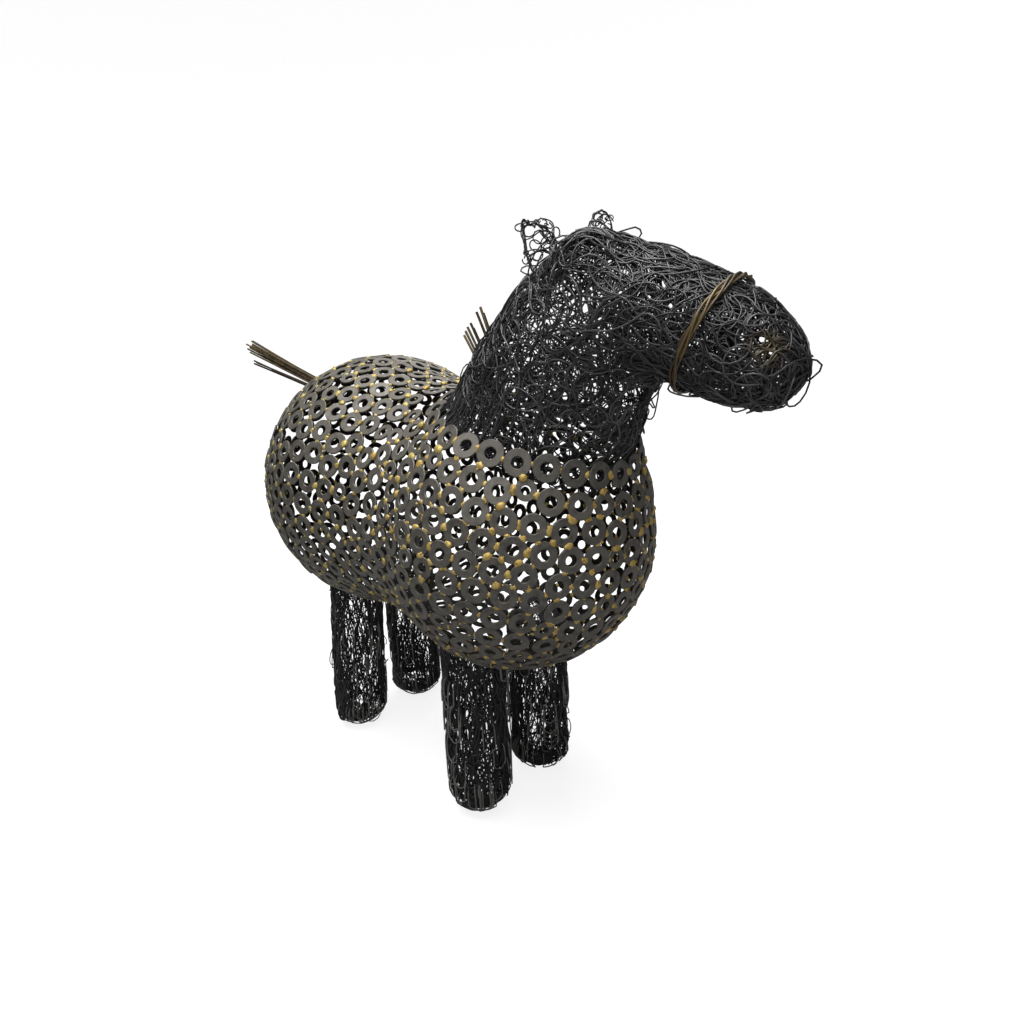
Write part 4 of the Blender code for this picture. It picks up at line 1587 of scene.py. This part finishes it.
def olive_near(spot):
    """How olive the wire is at a point, as it is round one spot of the muzzle."""
    return lambda point: max(0.0, 1.0 - (point - spot).length / OLIVE_REACH) * OLIVE_DEPTH


def swell_near(spots):
    """How far the mat bulges at a point, as it does a little at the poll and at the throat."""
    return lambda point: max(
        rise * max(0.0, 1 - ((point - place).length / reach) ** 2) for place, reach, rise in spots
    )


def part_at(place):
    """The part that a place belongs to."""
    on_head = place.y < POLL_PLACE.y - BEHIND_HEAD and place.z > POLL_PLACE.z - BELOW_POLL
    return "head" if on_head else "neck"


def neck_and_head():
    openings = [
        (place, radius) for pixel, radius in MUZZLE_OPENING_PIXELS for place in through_the_neck(*pixel)
    ]
    swell = swell_near([(through_the_neck(*pixel)[0], *bulge) for pixel, *bulge in SWELLING_PIXELS])
    dice = {"neck": Random(41), "head": Random(43)}
    strands = {"neck": [], "head": []}
    laid = {"neck": 0.0, "head": 0.0}
    while any(laid[part] < WIRE_LENGTHS[part] for part in laid):
        start = NECK_SKIN.pick(dice["neck"])
        part = part_at(start)
        if laid[part] >= WIRE_LENGTHS[part]:
            continue
        walked = walk_wire(NECK_SKIN, HABITS[part], dice[part], openings, start)
        strand = weave(*walked, HABITS[part], dice[part], swell)
        strands[part].append(strand)
        laid[part] += strand_length(strand)
    chin = stray_loops(NECK_SKIN, CHIN_LOOPS, 47)
    poll = stray_loops(NECK_SKIN, POLL_LOOPS, 49)
    throat = stray_loops(NECK_SKIN, THROAT_LOOPS, 51)
    nape = stray_loops(NECK_SKIN, NAPE_LOOPS, 53)
    strands["neck"] += nape + throat + skirt(SKIRT_LOOPS, 57)
    strands["head"] += chin + poll
    olive = {"neck": None, "head": olive_near(through_the_neck(*OLIVE_PIXEL)[0])}
    for part, seed in (("neck", 59), ("head", 61)):
        name = part + "_wire"
        piece = draw_wire(name, strands[part], WIRE_DIAMETER, MAT_SIDES, WIRE_METAL, seed, olive[part])
        fit_piece(piece, "black_wire", "head_and_neck")


neck_and_head()

# %% [markdown]
# ## Legs
# Each leg is a sleeve of wire wound up and down, closed by a rounded foot, so the light shows
# through it in upright slits. The near front leg is wound a little closer. Hairpins hang over one
# another down the outside like scales. The spine runs from the middle of the foot to the middle
# of the top, so the leg that leans keeps its lean.

# %% Legs
LEG_WIRE_LENGTH = 36.5
NEAR_LEG_EXTRA = 3.5
LEG_SIDES = 4
LEG_HABIT = Habit((0.02, 0.07), (0.3, 0.9), 0.16, 60.0, (-0.0044, -0.0002), 0.0014, (0.3, 0.6))
LEG_SCALES = 80
SCALE_HALVES = (0.0045, 0.0085)
SCALE_REACHES = (0.018, 0.032)
SCALE_STEPS = 14
SCALE_RISE = 0.0016
SCALE_TUCK = 0.0030
SCALE_WEIGHT = 0.001
LEG_LOOPS = Loops(18, (0.0015, 0.005), (0.02, 0.045), (0.008, 0.016))
LEG_TOP = 0.06
LEG_FOOT = 0.035
FOOT_MIDDLE = 0.030
SOLE_CLEARANCE = 0.0009


def leg_spine(node):
    """A line up the middle of a leg, from the heart of its foot."""
    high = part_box(node)[1]
    places = [vertex.co for vertex in frame["nodes"][node].data.vertices]
    top = [place for place in places if place.z > high.z - LEG_TOP]
    foot = [place for place in places if place.z < LEG_FOOT]
    middle_top = sum(top, Vector()) / len(top)
    middle_foot = sum(foot, Vector()) / len(foot)
    run = (middle_top - middle_foot) / (middle_top.z - middle_foot.z)
    return [middle_foot + run * (FOOT_MIDDLE - middle_foot.z), middle_foot + run * (high.z - middle_foot.z)]


def leg_scale(skin, dice):
    """A hairpin that hangs on the outside of a leg, its two ends tucked in."""
    foot = skin.pick(dice, tries=HAIRPIN_TRIES)
    half = dice.uniform(*SCALE_HALVES)
    reach = dice.uniform(*SCALE_REACHES)
    strand = []
    for share, hung in hairpin(foot, skin, half, reach, SCALE_STEPS):
        place, facing, index, _ = skin.nearest(hung)
        skin.laid[index] += SCALE_WEIGHT
        strand.append(place + facing * (SCALE_RISE - SCALE_TUCK * abs(share) ** 6))
    return strand


def make_leg(node, seed):
    skin = Skin(node, leg_spine(node))
    length = LEG_WIRE_LENGTH + (NEAR_LEG_EXTRA if node == "leg_front_right" else 0.0)
    strands = lay_mat(skin, LEG_HABIT, length, seed)
    strands += stray_loops(skin, LEG_LOOPS, seed + 1)
    dice = Random(seed + 2)
    scales = [leg_scale(skin, dice) for _ in range(LEG_SCALES)]
    for strand in strands + scales:
        for point in strand:
            point.z = max(point.z, SOLE_CLEARANCE)
    mat = ("leg_wire", strands, WIRE_METAL, (0.0, 0.25))
    # The hairpins are drawn pale in the paler copy of the wire: painted light on them.
    hairpins = ("leg_hairpins", scales, LIT_WIRE_METAL, (0.6, 1.0))
    for kind, laid, metal, tones in (mat, hairpins):
        name = node.replace("leg", kind)
        piece = draw_wire(name, laid, WIRE_DIAMETER, LEG_SIDES, metal, seed, tones=tones)
        fit_piece(piece, "black_wire", node)


for number, name in enumerate(sorted(name for name in frame["nodes"] if name.startswith("leg"))):
    make_leg(name, 71 + 10 * number)

# %% [markdown]
# ## Ears
# An ear is a leaf of thin wire: a bundle along its edge, and loose round curls inside that spring
# out past it. The solid's own plane places it, and the bundles and curls are set where the
# photograph shows them, as pixels that are carried back onto that plane. A bundle is a count of
# strands and the pixels that they run through, and a curl is the pixel of its middle and its radius.

# %% Ears
EAR_WIRE_DIAMETER = 0.0010
EAR_SIDES = 6
BUNDLE_WANDER = 0.0004 * 2.2
LONE_WANDER = 0.0004 * 0.5
EAR_STEPS = 5
CURL_STEPS = 18
NEAR_EAR_BUNDLES = (
    (4, ((533, 272), (528, 258), (525, 247), (523, 236), (522, 224))),
    (4, ((521, 225), (525, 221), (530, 224), (535, 222), (541, 226))),
    (5, ((536, 224), (544, 227), (551, 233), (555, 242), (557, 256))),
    (2, ((540, 231), (546, 237), (551, 245), (556, 258))),
    (2, ((527, 262), (533, 255), (542, 251), (551, 254))),
    (1, ((533, 223), (541, 219), (551, 222), (554, 229), (553, 240))),
    (1, ((534, 228), (537, 223), (541, 218))),
    (1, ((523, 240), (531, 238), (540, 232), (548, 231))),
    (1, ((526, 252), (534, 249), (543, 250), (552, 246))),
)
NEAR_EAR_CURLS = (
    (529.5, 231, 6.5), (539.5, 236.5, 6.5), (535.5, 246, 6.5), (520, 227.5, 4.6), (548, 225.5, 4.0),
    (556, 232.5, 5.5), (546, 243, 5.5), (545, 231, 4.5), (526, 252.5, 2.6), (526, 253, 2.2),
    (527, 259, 4.8), (538, 256, 5.5), (528, 223, 2.4), (534, 224, 2.4), (524, 224, 2.4),
    (551, 240, 4.5), (549, 248, 5.0), (543, 224, 4.0),
)
FAR_EAR_BUNDLES = (
    (3, ((589, 238), (591, 226), (594, 216), (599, 210), (602, 209))),
    (2, ((602, 209), (606, 213), (610, 221), (613, 231))),
    (1, ((594, 232), (597, 220), (603, 214), (609, 216), (613, 221))),
)
FAR_EAR_CURLS = (
    (598, 217, 4.6), (604, 219, 5.0), (600, 225, 4.6), (609.5, 218, 3.4), (596, 223, 3.6),
    (606, 227, 4.4), (601, 212.5, 3.0),
)


class EarPlane:
    """The plane of an ear's leaf, measured on its solid."""

    def __init__(self, node):
        places = solid_corners(node)
        self.middle = Vector(places.mean(axis=0))
        self.facing = Vector(np.linalg.svd(places - places.mean(axis=0), full_matrices=False)[2][2])
        if self.facing.y > 0:
            self.facing = -self.facing

    def at_pixel(self, x, y):
        ray = pixel_ray(x, y)
        return CAMERA_PLACE + ray * ((self.middle - CAMERA_PLACE).dot(self.facing) / ray.dot(self.facing))


def smooth_path(points, steps):
    """A smooth line through a few points."""
    ends = [points[0] * 2 - points[1], *points, points[-1] * 2 - points[-2]]
    path = []
    for index in range(1, len(ends) - 2):
        first, second, third, fourth = ends[index - 1:index + 3]
        for step in range(steps):
            share = step / steps
            bend = second * 2 + (third - first) * share
            bend += (first * 2 - second * 5 + third * 4 - fourth) * share ** 2
            bend += (second * 3 - first - third * 3 + fourth) * share ** 3
            path.append(bend / 2)
    return path + [points[-1]]


def ear_bundle(plane, pixels, count, dice):
    """Strands that run side by side along a line of pixels."""
    line = [plane.at_pixel(x, y) for x, y in pixels]
    reach = BUNDLE_WANDER if count > 1 else LONE_WANDER
    return [smooth_path([point + scatter(dice, reach) for point in line], EAR_STEPS) for _ in range(count)]


def ear_curl(plane, x, y, radius, dice):
    """A round curl that is wound about once and stands out of the plane a little."""
    centre = plane.at_pixel(x, y)
    right = plane.at_pixel(x + radius, y) - centre
    up = plane.at_pixel(x, y - radius) - centre
    start = dice.uniform(0, tau)
    sweep = dice.uniform(0.85, 1.35) * tau
    tilt = dice.uniform(-0.0020, 0.0020)
    squash = dice.uniform(0.60, 1.0)
    lean = dice.uniform(0, pi)
    swell = dice.uniform(-0.25, 0.45)
    strand = []
    for step in range(CURL_STEPS + 1):
        share = step / CURL_STEPS
        angle = start + sweep * share
        long, short = cos(angle), sin(angle) * squash
        across = long * cos(lean) - short * sin(lean)
        rise = long * sin(lean) + short * cos(lean)
        grown = 1 + swell * (share - 0.5)
        out = sin(angle) * tilt + 0.0018 * (share - 0.5)
        strand.append(centre + (right * across + up * rise) * grown + plane.facing * out)
    return strand


def make_ear(name, node, seed, bundles, curls):
    dice = Random(seed)
    plane = EarPlane(node)
    strands = []
    for count, pixels in bundles:
        strands += ear_bundle(plane, pixels, count, dice)
    strands += [ear_curl(plane, *curl, dice) for curl in curls]
    piece = draw_wire(name, strands, EAR_WIRE_DIAMETER, EAR_SIDES, WIRE_METAL, seed, tones=(0.0, 0.6))
    fit_piece(piece, "black_wire", node)


make_ear("near_ear_wire", "ear_right", 151, NEAR_EAR_BUNDLES, NEAR_EAR_CURLS)
make_ear("far_ear_wire", "ear_left", 157, FAR_EAR_BUNDLES, FAR_EAR_CURLS)

# %% [markdown]
# ## Noseband
# The noseband is a flat, loosely twisted band of bronze wires. Rays towards the middle of its
# solid find its outside, and the wires wander round that line.

# %% Noseband
BAND_WIRES = 6
BAND_WIRE_DIAMETER = 0.0018
BAND_WIDTH = 0.0064
BAND_THICKNESS = 0.0036
BAND_TWISTS = 3
BAND_POINTS = 90
BAND_SIDES = 6
BAND_SLIP = 0.25
BAND_SWAY = 0.6
RAY_START = 0.2


def band_line():
    """Places round the muzzle, with the outward and the sideways direction at each."""
    places = solid_corners("noseband")
    middle = places.mean(axis=0)
    axes = np.linalg.svd(places - middle, full_matrices=False)[2]
    sideways = Vector(axes[2])
    first = tangent(Vector((0, 0, 1)), sideways)
    second = sideways.cross(first)
    tree = BVHTree.FromObject(frame["nodes"]["noseband"], bpy.context.evaluated_depsgraph_get())
    line = []
    for index in range(BAND_POINTS):
        turn = tau * index / BAND_POINTS
        outward = first * cos(turn) + second * sin(turn)
        line.append(tree.ray_cast(Vector(middle) + outward * RAY_START, -outward)[0])
    smooth = []
    for index, place in enumerate(line):
        near = (line[index - 1] + line[(index + 1) % BAND_POINTS]) / 2
        smooth.append(place * 0.5 + near * 0.5)
    return smooth, Vector(middle), sideways


def make_noseband():
    dice = Random(163)
    line, middle, sideways = band_line()
    strands = []
    for wire in range(BAND_WIRES):
        strand = []
        slip = dice.uniform(-BAND_SLIP, BAND_SLIP)
        waves = dice.choice((3, 4, 5))
        for index in range(BAND_POINTS + 3):
            place = line[index % BAND_POINTS]
            outward = tangent(place - middle, sideways)
            round_way = index / BAND_POINTS
            angle = tau * (wire / BAND_WIRES + BAND_TWISTS * round_way)
            angle += slip + BAND_SWAY * sin(tau * waves * round_way + wire)
            out = (cos(angle) - 1) * (BAND_THICKNESS - BAND_WIRE_DIAMETER) / 2
            aside = sin(angle) * (BAND_WIDTH - BAND_WIRE_DIAMETER) / 2
            strand.append(place + outward * out + sideways * aside)
        strands.append(strand)
    piece = draw_wire(
        "noseband_wire", strands, BAND_WIRE_DIAMETER, BAND_SIDES, ROD_METAL, 167, tones=(0.15, 0.65)
    )
    fit_piece(piece, "bronze_rod", "noseband")


make_noseband()

# %% [markdown]
# ## Tail and mane
# The tail is a dozen bronze rods and three dark ones, in two sheaves that part towards their cut
# ends, and the tuft of mane is two short sheaves behind the neck. Each rod is nearly straight, so
# a few points make one.

# %% Tail and mane
ROD_DIAMETER = 0.0024
ROD_POINTS = 5
ROD_SIDES = 8
ROD_ROW_STEP = 0.9
ROD_WANDER = 0.006
TAIL_ROOT_DEPTH = 0.010
TAIL_EXTRA = 0.006
TAIL_PART = 0.003
TAIL_RISE = 0.022
TAIL_DROOP = 0.040
BRIGHT_RODS = (12, 0.030, 0.009, 173)
DARK_RODS = (3, 0.020, 0.003, 179)
DARK_SHARE = 0.97
TUFT_DEPTH = 0.004
TUFT_RODS = (
    ((491, 352), (480.3, 307)),
    ((489, 352), (476.5, 312)),
    ((493, 352), (483.5, 313)),
    ((487, 353), (478.5, 317)),
    ((484, 362), (470.6, 323)),
    ((481, 364), (467.5, 327)),
    ((479, 366), (465.5, 331)),
    ((477, 368), (464.0, 335)),
    ((486, 362), (473.5, 328)),
)


def lay_rod(root, heading, length, bow, dice):
    """A rod that is straight but for a slight bow."""
    side = heading.cross(scatter(dice)).normalized()
    strand = []
    for step in range(ROD_POINTS):
        share = step / (ROD_POINTS - 1)
        strand.append(root + heading * length * share + side * bow * sin(pi * share))
    return strand


def sheaf(root, heading, flat, length, count, fan, spread_out, seed):
    """Rods side by side in a few rows, fanned out in the flat direction."""
    dice = Random(seed)
    third = heading.cross(flat).normalized()
    rods = []
    for index in range(count):
        row = (index % 2) - 0.5
        aside = (index + 0.5) / count - 0.5
        start = root + flat * aside * spread_out + third * row * ROD_DIAMETER * ROD_ROW_STEP
        aim = heading + flat * aside * fan + third * row * fan * 0.3
        aim += scatter(dice) * ROD_WANDER
        own = length * dice.uniform(0.90, 1.0)
        rods.append(lay_rod(start, aim.normalized(), own, dice.uniform(0, 0.001), dice))
    return rods


def make_tail():
    low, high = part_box("tail")
    places = solid_corners("tail")
    front = places[places[:, 1] < low.y + 0.02].mean(axis=0)
    back = places[places[:, 1] > high.y - 0.03].mean(axis=0)
    run = Vector(back - front)
    heading = run.normalized()
    root = Vector(front) - heading * TAIL_ROOT_DEPTH
    length = high.y - low.y + TAIL_EXTRA
    upward = tangent(Vector((0, 0, 1)), heading)
    upper = (heading + upward * TAIL_RISE).normalized()
    lower = (heading - upward * TAIL_DROOP).normalized()
    bright = sheaf(root + upward * TAIL_PART, upper, upward, length, *BRIGHT_RODS)
    dark = sheaf(root - upward * TAIL_PART, lower, upward, length * DARK_SHARE, *DARK_RODS)
    for name, rods, tones in (("tail_rods", bright, (0.35, 1.0)), ("tail_dark_rods", dark, (0.0, 0.15))):
        piece = draw_wire(name, rods, ROD_DIAMETER, ROD_SIDES, ROD_METAL, 181, tones=tones)
        fit_piece(piece, "bronze_rod", "tail")


def make_tuft():
    """Each rod runs from the nape, near a pixel of its foot, to a pixel of its tip."""
    low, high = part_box("mane_tuft")
    middle = (Vector(low) + Vector(high)) / 2
    facing = Vector((CAMERA_PLACE.x - middle.x, CAMERA_PLACE.y - middle.y, 0)).normalized()
    dice = Random(191)
    rods = []
    for foot, tip in TUFT_RODS:
        ends = []
        for x, y in (foot, tip):
            ray = pixel_ray(x, y)
            ends.append(CAMERA_PLACE + ray * ((middle - CAMERA_PLACE).dot(facing) / ray.dot(facing)))
        rooted, outward, _, _ = NECK_SKIN.nearest(ends[0] + facing * dice.uniform(-0.003, 0.003))
        start = rooted - outward * TUFT_DEPTH
        run = ends[1] - start
        rods.append(lay_rod(start, run.normalized(), run.length, dice.uniform(0, 0.0005), dice))
    piece = draw_wire("mane_rods", rods, ROD_DIAMETER, ROD_SIDES, ROD_METAL, 197)
    fit_piece(piece, "bronze_rod", "mane_tuft")


make_tail()
make_tuft()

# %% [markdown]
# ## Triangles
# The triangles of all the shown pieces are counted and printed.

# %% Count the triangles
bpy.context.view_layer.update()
total = sum(count_triangles(piece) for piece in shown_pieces() if piece.type == 'MESH')
print(f"whole pony: {total} triangles")
